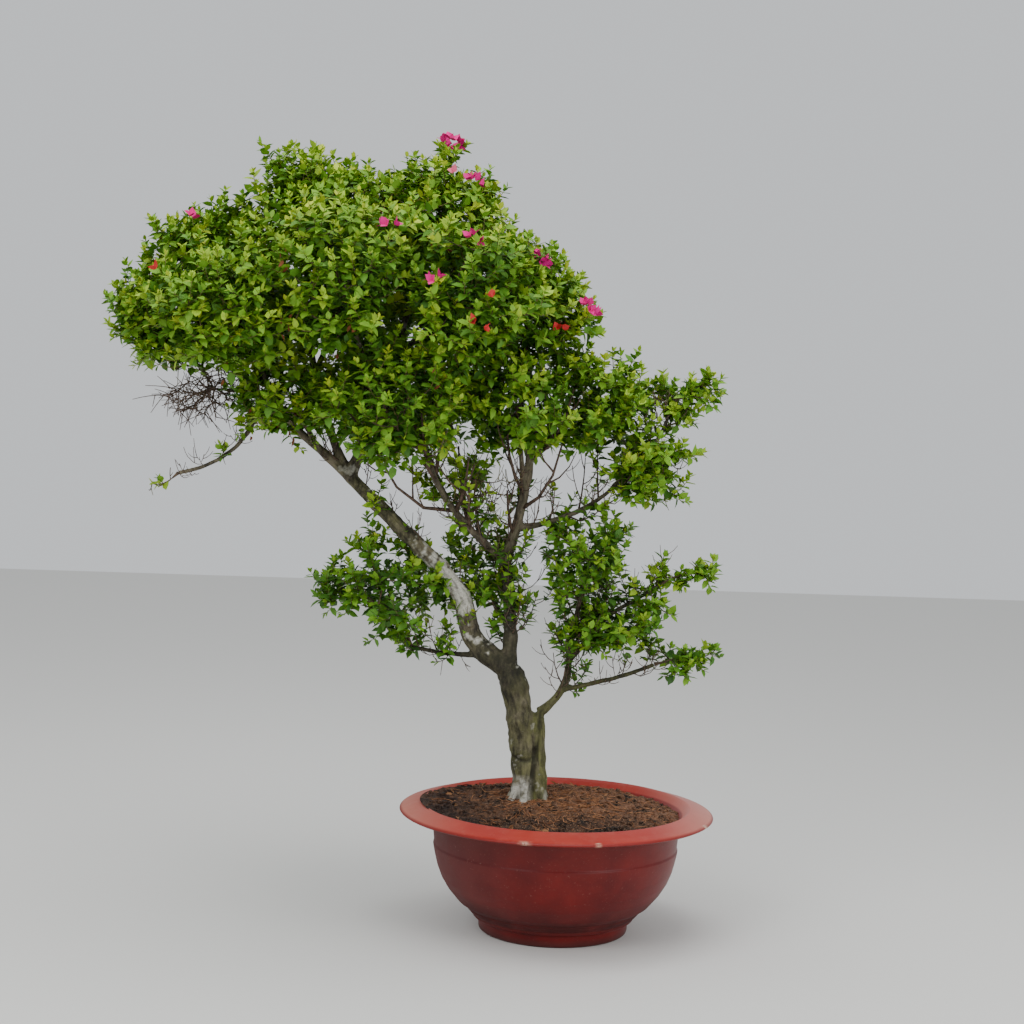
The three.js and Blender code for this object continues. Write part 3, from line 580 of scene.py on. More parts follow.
def lay_limbs():
    """The centrelines of the trunk's stems and of all limbs, by name, with their radii."""
    lines = {}
    for name, foot, reach, bow, girth in (
            ("trunk", TRUNK_FOOT, TRUNK_REACH, TRUNK_BOW, TRUNK_GIRTH),
            ("side_stem", SIDE_STEM_FOOT, SIDE_STEM_REACH, SIDE_STEM_BOW, SIDE_STEM_GIRTH)):
        foot = np.array(foot, float)
        lines[name] = SimpleNamespace(line=bowed(foot, foot + reach, np.array(bow, float)), girth=girth)
    for row in LIMBS:
        parent = lines[row.on].line
        foot = point_at(parent, row.at)
        space = next((m for m in MASSES if m.name == row.bears), None)
        tip = foot + row.reach if row.reach else entry_to(space, foot)
        bow = np.array(row.bow, float)
        if not row.reach:
            bow += heading_at(parent, row.at) * np.linalg.norm(tip - foot) * SIDE_SWING
        if space:
            space.foot, space.stem_radius = tip, row.girth[1]
        via = [foot + offset for offset in row.via or ()]
        line = through([foot, *via, tip]) if via else bowed(foot, tip, bow)
        lines[row.name] = SimpleNamespace(line=line, girth=row.girth)
    return lines


# Tubes: stems, twigs and fibres.

def sleeve(rings, sides):
    """Faces of a closed sleeve of points, numbered ring by ring, with the point that closes its foot and the
    one that closes its tip last: quads between the rings, and two fans of triangles."""
    ring, side = (grid.ravel() for grid in np.meshgrid(np.arange(rings - 1), np.arange(sides), indexing="ij"))
    here, after = ring * sides + side, ring * sides + (side + 1) % sides
    quads = np.stack([here, here + sides, after + sides, after], -1)
    here, after, last = here[:sides], after[:sides], (rings - 1) * sides
    end = np.full(sides, rings * sides)
    fans = [np.stack([end, here, after], -1), np.stack([end + 1, after + last, here + last], -1)]
    return quads, np.concatenate(fans)


def tubes(paths, radii, sides):
    """Closed tubes. paths is (tubes, rings, 3) and radii (tubes, rings): each ring lies across its path, and
    a point at either end closes it. Returns points, quads and triangles."""
    count, rings = paths.shape[:2]
    heading = unit(np.gradient(paths, axis=1))
    overall = unit(paths[:, -1] - paths[:, 0])
    across = unit(np.cross(heading, np.eye(3)[np.abs(overall).argmin(-1)][:, None]))
    other = np.cross(heading, across)
    turn = np.linspace(0, 2 * math.pi, sides, endpoint=False)[:, None]
    rim = (np.cos(turn) * across[:, :, None] + np.sin(turn) * other[:, :, None]) * radii[..., None, None]
    points = np.concatenate([(paths[:, :, None] + rim).reshape(count, -1, 3), paths[:, :1], paths[:, -1:]], 1)
    quads, fans = sleeve(rings, sides)
    shift = (np.arange(count) * points.shape[1])[:, None, None]
    return points.reshape(-1, 3), (quads + shift).reshape(-1, 4), (fans + shift).reshape(-1, 3)


def joined(parts):
    """Several parts, each of points, quads and triangles, as one."""
    points, *faces = zip(*parts)
    starts = np.cumsum([0] + [len(own) for own in points[:-1]])
    return np.concatenate(points), *(np.concatenate([own + start for own, start in zip(kind, starts)])
                                     for kind in faces)


def limb_paths(lines):
    """Paths and radii of the trunk and limbs as built: the part's centrelines, with a collar where a limb
    leaves its parent, slow swellings and small kinks."""
    parts = []
    for name, item in lines.items():
        foot = item.girth[0]
        share = np.linspace(0, 1, max(8, int(item.line.length / 6)))
        path = point_at(item.line, share)
        radius = lerp(*item.girth, share)
        if name not in ("trunk", "side_stem"):
            radius = radius * (1 + 0.28 * np.exp(-share * item.line.length / (2.2 * foot)))
        wobble = np.stack([swell(path, 95, seed) for seed in (3, 4, 5)], -1)
        path = path + wobble * (1.3 + 0.9 * (foot / 30)) * np.sin(math.pi * share)[:, None]
        parts.append((name, path, radius * (1 + 0.045 * swell(path, 55, 6))))
    share = np.linspace(0, 1, 20)
    for turn in np.radians(TOE_ANGLES):
        outward = np.array([math.cos(turn), math.sin(turn), 0])
        top = np.array([*TOE_MIDDLE, SOIL_TOP + TOE_RISE]) + outward * TOE_START
        tip = top + outward * (TOE_SPREAD - TOE_START) - UP * (TOE_RISE + TOE_SINK)
        parts.append(("toe", point_at(bowed(top, tip, outward * -TOE_BOW), share), lerp(*TOE_GIRTH, share)))
    return parts


def rows_of(data, key, width, kind=np.float32):
    """One of a mesh's lists as an array of rows."""
    values = np.empty(len(data) * width, kind)
    data.foreach_get(key, values)
    return values.reshape(-1, width)


def move_points(mesh, places):
    """Moves a mesh's points to places in mm."""
    mesh.vertices.foreach_set("co", (places * MM).astype(np.float32).ravel())
    mesh.update()


def grow_together(parts):
    """The tubes of trunk and limbs as one skin on a fine grid, whose steps are then smoothed away: each point
    moves half the way to the mean of those next to it, three times."""
    holder = show("rough_bark", make_mesh("rough_bark", *joined(
        [tubes(path[None], radius[None], LIMB_SIDES) for _, path, radius in parts])))
    remesh = holder.modifiers.new("grow_together", "REMESH")
    remesh.mode = "VOXEL"
    remesh.voxel_size = BARK_GRID * MM
    skin = bpy.data.meshes.new_from_object(holder.evaluated_get(bpy.context.evaluated_depsgraph_get()))
    bpy.data.objects.remove(holder)
    places = rows_of(skin.vertices, "co", 3).astype(float) / MM
    count = len(places)
    a, b = rows_of(skin.edges, "vertices", 2, np.int32).T
    near = np.bincount(np.concatenate([a, b]), minlength=count)[:, None]
    for _ in range(3):
        total = np.stack([np.bincount(a, places[b, k], count) + np.bincount(b, places[a, k], count)
                          for k in range(3)], -1)
        places = lerp(places, total / near, 0.5)
    move_points(skin, places)
    return skin, places


def nearest_limbs(places, parts):
    """For each place on the bark: the number of the limb nearest to it, that limb's radius and run there, and
    the angle at which the place lies round it."""
    _, paths, radii = zip(*parts)
    centres, radii = np.concatenate(paths), np.concatenate(radii)
    runs = np.concatenate([np.linspace(0, 1, len(path)) * np.linalg.norm(np.diff(path, axis=0), axis=1).sum()
                           for path in paths])
    owner = np.repeat(np.arange(len(paths)), [len(path) for path in paths])
    headings = np.concatenate([unit(np.gradient(path, axis=0)) for path in paths])
    nearest = np.empty(len(places), int)
    for first in range(0, len(places), BLOCK):
        own = slice(first, first + BLOCK)
        square = (places[own] ** 2).sum(1)[:, None] + (centres ** 2).sum(1) - 2 * places[own] @ centres.T
        nearest[own] = (np.sqrt(np.maximum(square, 0)) - radii).argmin(1)
    outward, along = places - centres[nearest], headings[nearest]
    side = unit(np.cross(along, np.array([0.31, 0.95, 0.05])))
    angle = np.arctan2((outward * np.cross(along, side)).sum(1), (outward * side).sum(1))
    return owner[nearest], radii[nearest], runs[nearest], angle


def make_bark(lines):
    """The bark of trunk and limbs, grown together and then furrowed. A point's furrow depth is a sum of
    sharpened waves round the nearest limb that drift slowly along it."""
    parts = limb_paths(lines)
    skin, places = grow_together(parts)
    normals = rows_of(skin.vertices, "normal", 3).astype(float)
    owner, radius, run, angle = nearest_limbs(places, parts)

    drift = 0.9 * np.sin(run / 46 + owner) + 0.5 * swell(places, 60, 11)
    furrows = 0.5 + 0.5 * np.sin(angle * np.round(4 + radius / 5) + drift)
    fine = 0.5 + 0.5 * np.sin(angle * np.round(9 + radius / 3) - 1.7 * drift + run / 31)
    ridge = np.clip(0.62 * furrows ** 0.6 + 0.38 * fine ** 0.7 + 0.25 * swell(places, 16, 12), 0, 1)
    depth = np.clip(radius * 0.04, 0.25, 1.4)
    knobs = (np.maximum(swell(places, 38, 13) - 0.4, 0) * np.clip(radius * 0.09, 0, 3.2)
             + swell(places, 70, 16) * np.clip(radius - 12, 0, 22) * 0.11)
    # The crease where the two stems have grown together, and a fold with a lump over it on the larger one.
    x, height = places[:, 0], places[:, 2]
    crease = bell(x, 0.1 * (height - 400) - 63, 7) * fade(np.abs(height - 455), 135, 95)
    fold = bell(height, 436 + 0.012 * (x + 84) ** 2, 5) * fade(np.abs(x + 88), 26, 18)
    crease = np.maximum(crease, 0.8 * fold) * (normals[:, 1] < 0.2)
    lump = bell(height, 452, 15) * bell(x, -86, 20) * (normals[:, 1] < 0)
    relief = (ridge - 0.6) * depth + knobs - CREASE_DEPTH * crease + LUMP_HEIGHT * lump
    places = places + normals * relief[:, None]
    places[:, 2] = np.maximum(places[:, 2], SOIL_TOP - 12)
    move_points(skin, places)

    names = [name for name, _, _ in parts]
    on_left = owner == names.index("left_bough")
    share = run / lines["left_bough"].line.length
    patch = swell(places, 60, 14) + 0.4 * swell(places, 16, 15)
    x, height = places[:, 0], places[:, 2]
    crust = 1.5 * on_left * fade(np.abs(share - 0.42), 0.34, 0) - 0.45
    facing = np.clip(0.5 - normals[:, 1] * 0.4 - normals[:, 0] * 0.25, 0, 1)
    crust = np.clip((crust * facing + patch * 0.55 - 0.15) * 2.2, 0, 1) * on_left
    # Limewash clings to the two toes in front.
    left_toe = fade(height, SOIL_TOP + 66, SOIL_TOP + 48) * bell(x, -97, 30, 6)
    right_toe = fade(height, SOIL_TOP + 30, SOIL_TOP + 16) * bell(x, -22, 12, 4)
    lime = np.maximum(left_toe, 0.8 * right_toe) * (places[:, 1] < 5) * np.clip(patch * 0.8 + 0.95, 0, 1)
    crust = np.clip(crust + lime * 0.9 + np.clip((patch - 1.25) * 2, 0, 0.4), 0, 0.92)
    mossy = np.isin(owner, [names.index(name) for name in ("right_bough", "right_tip_limb", "side_stem")])
    moss = 0.55 * fade(height, 900, 640) + 0.45 * mossy + 0.22 * patch + 0.5 * on_left * fade(share, 0.5, 0.7)
    # Painted shade: the fork, under the foliage, is painted dark, and so is the centre bough.
    damp = bell(height, 705, 120) * np.where(on_left, np.clip(1.1 - share * 3.5, 0, 1), 1)
    damp = np.maximum(damp, 0.85 * (owner == names.index("centre_bough")))
    # The crease between the stems is painted dark as shade as well, and the pale crust is kept out of this
    # painted shade.
    damp = np.clip(np.maximum(damp, 1.1 * crease) * (0.85 + 0.3 * patch) - crust, 0, 1)
    moss = np.clip(moss, 0, 1)
    skin.name = "bark"
    skin.polygons.foreach_set("use_smooth", np.ones(len(skin.polygons), bool))
    bark = place_piece(skin, old_bark(), "bark", ridge=ridge, crust=crust, moss=moss, damp=damp)
    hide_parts("trunk", *(row.name for row in LIMBS))


# Twigs and shoots: the part's rule, with more tips.

def scattered(space, count, seed):
    """Tips spread evenly through a mass's space, nearer to its edge than its middle: the first count points
    of the part's series that lie inside."""
    k = np.arange(1, 6 * count)
    turn, rise, out = ((0.5 + 0.31 * n * seed + k / SPREAD_BASE ** n) % 1 for n in (1, 2, 3))
    height = 2 * rise - 1
    flat = np.sqrt(1 - height ** 2)
    direction = np.stack([flat * np.cos(2 * math.pi * turn), flat * np.sin(2 * math.pi * turn), height], -1)
    low, high = TIP_SHARES[space.kind]
    places = space.middle + direction * lerp(low, high, np.sqrt(out))[:, None] * space.half
    return places[depth_inside(places, space) > TIP_DEPTH][:count]


def curve_paths(start, bend, end, rings=PATH_RINGS):
    """Quadratic curves from start to end that aim at bend: (curves, rings, 3)."""
    share = np.linspace(0, 1, rings)[:, None]
    start, bend, end = (np.asarray(p)[..., None, :] for p in (start, bend, end))
    return (1 - share) ** 2 * start + 2 * share * (1 - share) * bend + share ** 2 * end


def grow_twigs(space, seed):
    """The main twigs of a mass. From its stem outward, each next tip joins the point of the tree so far that
    makes the way short, and bends up towards its end. A twig is as thick as the tips that it feeds need.
    Returns paths (twigs, rings, 3), the radii at their feet, and the directions of their tips."""
    heart = lerp(space.foot, space.middle, HEART)
    spread = scattered(space, space.twigs, seed)
    # Hollows in the surface, about a hand wide.
    hollow = np.clip(-swell(spread, 190, 41) - 0.1, 0, 1)[:, None] * (space.kind == DENSE)
    shoot = [] if space.tip is None else [space.tip]
    outline = np.array([*space.tips, *shoot], float).reshape(-1, 3)
    outline -= unit(outline - space.middle) * TIP_SHORT
    ends = np.concatenate([outline, lerp(spread, space.middle, 0.3 * hollow)])
    ends[:, 1] = np.clip(ends[:, 1], NEAR_TIP, FAR_TIP)
    ends = ends[np.linalg.norm(ends - heart, axis=1).argsort()]
    middle, half = (CROWN_MIDDLE, CROWN_HALF) if space.kind == DENSE else (space.middle, space.half)
    outward, lift = AIMS[space.kind]
    aims = unit(outward * unit((ends - middle) / half) + lift * UP + 0.26 * draw.normal(size=ends.shape))
    places, ways, owners = [heart], [np.linalg.norm(heart - space.foot)], [-1]
    paths, parents = [], []
    for end, aim in zip(ends, aims):
        known = np.array(places)
        distance = np.linalg.norm(known - end, axis=1)
        cost = distance + PATH_PULL * np.array(ways)
        cost[distance < SHORTEST_TWIG] = np.inf
        chosen = cost.argmin()
        length = distance[chosen]
        path = curve_paths(known[chosen], end - aim * 0.45 * length, end)
        owner = len(paths)
        paths.append(path)
        parents.append(owners[chosen])
        joins = max(1, int(length / JOIN_STEP))
        for share in np.linspace(0, 1, joins + 1)[1:]:
            ring = int(round(share * (PATH_RINGS - 1)))
            places.append(path[ring])
            ways.append(ways[chosen] + length * share)
            owners.append(owner)
    loads = np.ones(len(paths))
    for owner in range(len(paths) - 1, -1, -1):
        if parents[owner] >= 0:
            loads[parents[owner]] += loads[owner]
    stem = curve_paths(space.foot, lerp(space.foot, heart, 0.5), heart)
    feet = np.minimum(TIP_RADIUS * loads ** LOAD_POWER * 1.25, space.stem_radius)
    return (np.concatenate([np.array(paths), stem[None]]), np.append(feet, space.stem_radius),
            np.append(aims, [unit(heart - space.foot)], 0))


def side_shoots(paths, shares, reach, lift):
    """Short shoots that leave their twigs about the given shares, turned by the golden angle and drawn upward
    by lift: (paths, shares, rings, 3). reach is their least and greatest length."""
    count = len(paths)
    shares = np.clip(np.array(shares) + draw.uniform(-0.07, 0.07, (count, len(shares))), 0, 0.95)
    start, run = along_paths(paths, shares)
    roll = GOLDEN_ANGLE * np.arange(shares.size).reshape(count, -1) + draw.uniform(0, 1, shares.shape)
    length = draw.uniform(*reach, shares.shape)[..., None]
    lean = unit(0.5 * run + 0.9 * around(run, roll))
    end = start + unit(lean + lift * UP) * length
    return curve_paths(start, start + lean * 0.5 * length, end, SHOOT_RINGS)


def along_paths(paths, shares):
    """Points and directions at shares, (paths, n), of each path's length."""
    rings = paths.shape[1] - 1
    place = np.clip(shares, 0, 1) * rings
    lower = np.minimum(place.astype(int), rings - 1)
    rows = np.arange(len(paths))[:, None]
    here, there = paths[rows, lower], paths[rows, lower + 1]
    return lerp(here, there, (place - lower)[..., None]), unit(there - here)


def around(run, roll):
    """Unit vectors across run, turned round it by roll."""
    across = unit(np.cross(run, np.array([0.23, 0.11, 0.97])))
    other = np.cross(run, across)
    return np.cos(roll)[..., None] * across + np.sin(roll)[..., None] * other


def leaves_on(paths, count, gap, growth):
    """Leaf places on shoots, counted back from each tip: roots, directions, upper sides, age from 0 at the
    tip to 1, and the number of the shoot. The n-th leaf stands gap times n and growth times n squared back,
    in a golden-angle spiral, the young ones close to the shoot and the old ones level, facing up and
    outward."""
    shoots = len(paths)
    lengths = np.linalg.norm(np.diff(paths, axis=1), axis=2).sum(1)[:, None]
    order = np.arange(count)
    back = 1.5 + gap * order + growth * order ** 2 + draw.uniform(-1.5, 1.5, (shoots, count))
    shares = 1 - back / lengths
    roots, run = along_paths(paths, shares)
    age = np.clip(order / (count - 1) + draw.uniform(-0.08, 0.08, (shoots, count)), 0, 1)
    roll = GOLDEN_ANGLE * order + draw.uniform(0, 2 * math.pi, (shoots, 1))
    roll = roll + draw.uniform(-0.3, 0.3, age.shape)
    lean = np.radians(lerp(28, 82, age ** 0.6)) + draw.uniform(-0.2, 0.2, age.shape)
    along = np.cos(lean)[..., None] * run + np.sin(lean)[..., None] * around(run, roll)
    along[..., 2] = along[..., 2] * lerp(1, 0.45, age) + lerp(0.12, -0.06, age)
    outward = unit((roots - CROWN_MIDDLE) * [1, 1, 0])
    upper = UP + 0.3 * run + 0.35 * outward + 0.24 * draw.normal(size=along.shape)
    keep = shares > 0.06
    number = np.broadcast_to(np.arange(shoots)[:, None], keep.shape)
    return tuple(values[keep] for values in (roots, unit(along), upper, age, number))


def blades(roots, along, upper, lengths, widths, droop, fold):
    """Blades of eight points: two stations of three points between root and tip. A point's height over
    the straight blade is fold times its distance from the rib, less droop times the square of its reach."""
    across = unit(np.cross(upper, along))
    top = np.cross(along, across)
    reach = np.concatenate([[0], np.repeat(LEAF_STATIONS, 3), [1]])
    spread = np.concatenate([[0], (LEAF_WIDTHS[:, None] * np.array([-1, 0, 1])).ravel(), [0]]) / 2
    x = spread * widths[:, None]
    y = reach * lengths[:, None]
    z = np.abs(x) * fold[:, None] - droop[:, None] * reach ** 2 * lengths[:, None]
    points = (roots[:, None] + x[..., None] * across[:, None] + y[..., None] * along[:, None]
              + z[..., None] * top[:, None])
    triangles = np.array([[0, 2, 1], [0, 3, 2], [4, 5, 7], [5, 6, 7]])
    quads = np.array([[1, 2, 5, 4], [2, 3, 6, 5]])
    shift = (np.arange(len(roots)) * BLADE_POINTS)[:, None, None]
    ribs = np.tile([1, 0, 1, 0, 0, 1, 0, 1], len(roots))
    return points.reshape(-1, 3), (triangles + shift).reshape(-1, 3), (quads + shift).reshape(-1, 4), ribs


def blade_piece(name, roots, along, upper, lengths, widths, droop, fold, material, slot):
    """One piece of many blades, each with its own shade."""
    points, triangles, quads, ribs = blades(roots, along, upper, lengths, widths, droop, fold)
    shade = np.repeat(draw.uniform(0, 1, len(roots)), BLADE_POINTS)
    return place_piece(make_mesh(name, points, triangles, quads), material, slot, rib=ribs, shade=shade)


def drawn_blades(name, roots, along, upper, sizes, material, slot):
    """One piece of blades whose length, width, droop and fold are drawn between the pairs of sizes."""
    drawn = [draw.uniform(low, high, len(roots)) for low, high in sizes]
    return blade_piece(name, roots, along, upper, *drawn, material, slot)


# Leaf tints from the youngest to the oldest and most shaded: name, blade colour, rib colour.
TINTS = [
    ("lime", "#a8ba22", "#b9c44e"),
    ("bright", "#88a91f", "#a0b646"),
    ("fresh", "#69981e", "#87a53c"),
    ("mid", "#50821e", "#6f9237"),
    ("deep", "#3d6c1e", "#597b31"),
    ("dark", "#2c521c", "#45642c"),
]

# Side stems on the limbs that show: limb, how many, the shares of its length between which they stand, the
# least and greatest length, the radius at the foot, and the share of them that bear leaves.
SPURS = [
    ("centre_left_limb", 9, 0.16, 0.85, (130, 260), 5.6, 0.05),
    ("centre_right_limb", 8, 0.12, 0.65, (130, 250), 5.6, 0.05),
    ("centre_left_limb", 8, 0.05, 0.9, (60, 140), 2.4, 0.15),
    ("centre_right_limb", 8, 0.05, 0.7, (60, 140), 2.4, 0.15),
    ("right_arm", 10, 0.15, 0.98, (60, 170), 2.8, 0.4),
    ("left_bough", 8, 0.12, 0.95, (40, 100), 2.0, 0.25),
    ("centre_bough", 14, 0.16, 0.98, (60, 140), 2.2, 0.65),
    ("right_bough", 6, 0.3, 0.98, (60, 130), 2.2, 0.6),
    ("right_mid_limb", 10, 0.1, 0.9, (60, 140), 2.2, 0.7),
    ("right_low_limb", 8, 0.2, 0.9, (60, 130), 2.0, 0.7),
    ("right_tip_limb", 6, 0.4, 0.95, (40, 90), 1.6, 0.5),
    ("right_up_limb", 8, 0.2, 0.95, (50, 110), 1.8, 0.7),
    ("low_left_bough", 8, 0.35, 0.95, (50, 110), 1.8, 0.5),
    ("spray_limb", 10, 0.1, 0.95, (50, 120), 2.0, 0.8),
    ("left_limb", 8, 0.1, 0.9, (60, 150), 2.4, 0.1),
    ("right_limb", 8, 0.05, 0.5, (60, 160), 2.6, 0.3),
    ("middle_limb", 8, 0.05, 0.4, (60, 160), 2.6, 0.2),
    ("inner_limb", 5, 0.2, 0.9, (60, 130), 2.2, 0.2),
    ("hanging_twig", 4, 0.4, 0.95, (25, 60), 1.2, 0.35),
]


def depth_in_foliage(places):
    """How deep places lie in the foliage as a whole, in mm: their depth in the oval that holds them
    deepest."""
    return np.max([(1 - np.linalg.norm((places - m.middle) / m.half, axis=-1)) * m.half.min()
                   for m in MASSES if m.kind != BARE], 0)


def place_tubes(name, groups, sides, material, slot):
    """One piece of many tubes: each group has its paths and their radii at foot and tip."""
    parts = []
    for paths, feet, tips in groups:
        feet = np.broadcast_to(feet, len(paths))[:, None]
        parts.append(tubes(paths, lerp(feet, tips, np.linspace(0, 1, paths.shape[1]) ** 0.8), sides))
    return place_piece(make_mesh(name, *joined(parts)), material, slot)


def as_list(shoots):
    """Shoots of several twigs as one list of paths."""
    return shoots.reshape(-1, SHOOT_RINGS, 3)


def make_crown(lines):
    """Twigs, shoots and leaves of every mass, each kind joined into its own pieces. Returns the tips of the
    twigs in leaf and their directions."""
    twigs, shoots, bare, leaf_sets, tips, aims = [], [], [], [], [], []

    def dress(group, leaves, floor=0):
        """Sets leaves on shoots, none of them below floor."""
        roots, along, upper, age, number = leaves_on(group, *leaves)
        high = roots[:, 2] > floor + 30 * swell(roots, 90, 42)
        leaf_sets.append([values[high] for values in (
            roots, along, upper, age, group[number, -1], draw.normal(size=len(group))[number])])

    for seed, space in enumerate(MASSES, 1):
        paths, feet, headings = grow_twigs(space, seed)
        if space.kind == BARE:
            fine = as_list(side_shoots(paths, BARE_SHARES, BARE_REACH, -0.1))
            bare += [(paths, feet, TIP_RADIUS), (fine, 1.2, 0.7)]
            continue
        mains = paths[:-1]
        slim = min(1, space.half.min() / SLIM)
        sides = side_shoots(mains, SHOOT_SHARES[:max(1, space.twigs // 2)],
                            [reach * slim for reach in SHOOT_REACH], 0.6 * slim)
        twigs.append((paths, feet, TIP_RADIUS))
        shoots.append((as_list(sides), 1.3, 0.8))
        in_leaf = draw.uniform(0, 1, len(mains)) < space.leafy
        tips.append(mains[in_leaf, -1])
        aims.append(headings[:-1][in_leaf])
        dress(mains[in_leaf], TWIG_LEAVES, space.floor)
        dress(as_list(sides[in_leaf]), SHOOT_LEAVES, space.floor)
    for name, count, first, last, reach, thick, leafy in SPURS:
        limb_path = point_at(lines[name].line, np.linspace(0, 1, 33))[None]
        spurs = side_shoots(limb_path, np.linspace(first, last, count), reach, 0.9)[0]
        forks = side_shoots(spurs, FORK_SHARES, (0.35 * reach[0], 0.6 * reach[1]), 0.7)
        in_leaf = draw.uniform(0, 1, count) < leafy
        dress(spurs[in_leaf], SPUR_LEAVES)
        dress(as_list(forks[in_leaf]), FORK_LEAVES)
        forks = as_list(forks)
        ends = as_list(side_shoots(forks, END_SHARES, END_REACH, 0.5))
        bare += [(spurs, thick, 0.4 * thick), (forks, 0.5 * thick, 0.9), (ends, 1.0, 0.6)]
    roots, along, upper, age, shoot_tip, whim = (np.concatenate(parts) for parts in zip(*leaf_sets))

    # Painted shade: sprays low down or deep inside get darker tints and those high up lighter ones; the
    # youngest leaves of each are the lightest.
    high = (shoot_tip[:, 2] - 1250) / 700
    level = 2.05 - 0.3 * np.clip(high, 0, 1) - 0.9 * np.clip(high, -0.8, 0)
    level = level + 1.5 * np.clip(depth_in_foliage(shoot_tip) / 90 - 0.4, 0, 1) + 0.55 * whim
    level = level + lerp(-1.1, 0.8, age ** 0.8) + draw.uniform(-0.4, 0.4, len(age))
    tint = np.clip(np.round(level), 0, len(TINTS) - 1).astype(int)

    grown = lerp(0.45, 1.0, np.clip(age * 2.4, 0, 1)) * draw.uniform(0.8, 1.14, len(age))
    lengths, widths = LEAF_LENGTH * grown, LEAF_WIDTH * grown * draw.uniform(0.85, 1.1, len(age))
    droop = lerp(-0.08, 0.22, age) + draw.uniform(-0.08, 0.1, len(age))
    fold = draw.uniform(0.12, 0.45, len(age))
    for index, (name, colour, rib) in enumerate(TINTS):
        own = [values[tint == index] for values in (roots, along, upper, lengths, widths, droop, fold)]
        piece = blade_piece("leaves_" + name, *own, leaf_skin("leaf_" + name, colour, rib), "foliage")
        if name == "mid":
            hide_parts(*(m.name for m in MASSES if m.kind != BARE))

    place_tubes("twigs", twigs, 5, mottled("brown_twig_bark", "#35281d", "#64503b"), "bark")
    place_tubes("shoots", shoots, 3, mottled("green_shoot_bark", "#525223", "#7a6c3c"), "foliage")
    piece = place_tubes("bare_twigs", bare, 4, mottled("dry_twig_bark", "#33251b", "#655041"), "twigs")
    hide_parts("bare_twigs_left")
    return np.concatenate(tips), np.concatenate(aims)


def make_blossom(tips, aims):
    """Clusters of papery bracts on shoot tips, on the near side where the tables put them and scattered over
    the other sides, and tufts of dry leaves. A flower is three bracts round the end of a short stalk."""
    eye = np.array(CAMERA_PLACE) / MM
    seen = eye + (tips - eye) * (-eye[1] / (tips[:, 1] - eye[1]))[:, None]

    def front_tip(x, z):
        """The tip, of those nearest to the camera, that it sees at a place in the plane y = 0."""
        return (np.hypot(seen[:, 0] - x, seen[:, 2] - z) + 0.2 * tips[:, 1]).argmin()

    outer = np.flatnonzero((tips[:, 1] > 140) & (tips[:, 2] > 1450) & (tips[:, 2] < 1830)
                           & (depth_in_foliage(tips) < 60))
    spare = np.split(draw.choice(outer, sum(MORE_BLOSSOM), replace=False), np.cumsum(MORE_BLOSSOM)[:-1])
    for name, rows, more, colour, rib in (
            ("magenta", MAGENTA_BLOSSOM, spare[0], "#d4007e", "#e63f9f"),
            ("scarlet", SCARLET_BLOSSOM, spare[1], "#c8282e", "#dc5a50"),
            ("pink", PINK_BLOSSOM, spare[2], "#d0607f", "#dc9aa8")):
        flowers = np.array([n for _, _, n in rows] + [3] * len(more))
        which = np.repeat([front_tip(x, z) for x, z, _ in rows] + list(more), flowers)
        turn = GOLDEN_ANGLE * np.arange(len(which)) + draw.uniform(0, 0.6, len(which))
        stalk = unit(aims[which] * 0.8 + around(aims[which], turn) + 0.2 * draw.normal(size=(len(which), 3)))
        toward = np.where(tips[which, 1:2] < 60, [[0, -22, 6]], unit(tips[which] - CROWN_MIDDLE) * 18)
        crowd = np.repeat(flowers, flowers)[:, None]
        head = tips[which] + aims[which] * 12 + toward + stalk * (10 + 1.5 * crowd)
        bract = np.repeat(np.arange(len(head)), 3)
        spin = np.repeat(draw.uniform(0, 2 * math.pi, len(head)), 3) + np.arange(len(bract)) * 2 * math.pi / 3
        lean = around(stalk[bract], spin)
        drawn_blades("bracts_" + name, head[bract], unit(stalk[bract] + 0.7 * lean),
                     stalk[bract] * 0.8 - lean, BRACT,
                     leaf_skin("bract_" + name, colour, rib, 0.62, 1.35), "foliage")

    # Dry leaves hang curled from the tips where they died.
    which = np.repeat([front_tip(x, z) for x, z in DRY_LEAVES], 5)
    count = len(which)
    along = unit(draw.normal(size=(count, 3)) * [0.6, 0.6, 0.3] - 0.8 * UP)
    roots = tips[which] + draw.normal(size=(count, 3)) * [11, 11, 22]
    drawn_blades("dry_leaves", roots, along, draw.normal(size=(count, 3)), DRY_LEAF,
                 leaf_skin("dry_leaf", "#6b3a1c", "#8a5a33", 0.8, 1.35), "foliage")


# The pot and its soil.

def rounded(profile, reach):
    """A profile whose corners are arcs: each corner becomes four points on a curve that starts and ends at
    most reach before and after it."""
    profile = np.array(profile, float)
    corner, before, after = profile[1:-1], profile[:-2], profile[2:]
    to_before, to_after = before - corner, after - corner
    first = corner + to_before * np.minimum(0.45, reach / np.linalg.norm(to_before, axis=1))[:, None]
    last = corner + to_after * np.minimum(0.45, reach / np.linalg.norm(to_after, axis=1))[:, None]
    arcs = curve_paths(first, corner, last, 4).reshape(-1, 2)
    return np.concatenate([profile[:1], arcs, profile[-1:]])


def turned(profile, sides):
    """A profile of radius and height turned round the pot's axis: points, quads, and the fans that close it
    where its two ends lie on the axis."""
    turn = np.linspace(0, 2 * math.pi, sides, endpoint=False)
    radius, height = profile[1:-1, :1], profile[1:-1, 1:]
    rings = np.stack([radius * np.cos(turn), radius * np.sin(turn), np.repeat(height, sides, 1)], -1)
    points = np.concatenate([rings.reshape(-1, 3), [[0, 0, profile[0, 1]], [0, 0, profile[-1, 1]]]])
    quads, fans = sleeve(len(rings), sides)
    return points, quads[:, [0, 3, 2, 1]], fans[:, [0, 2, 1]]


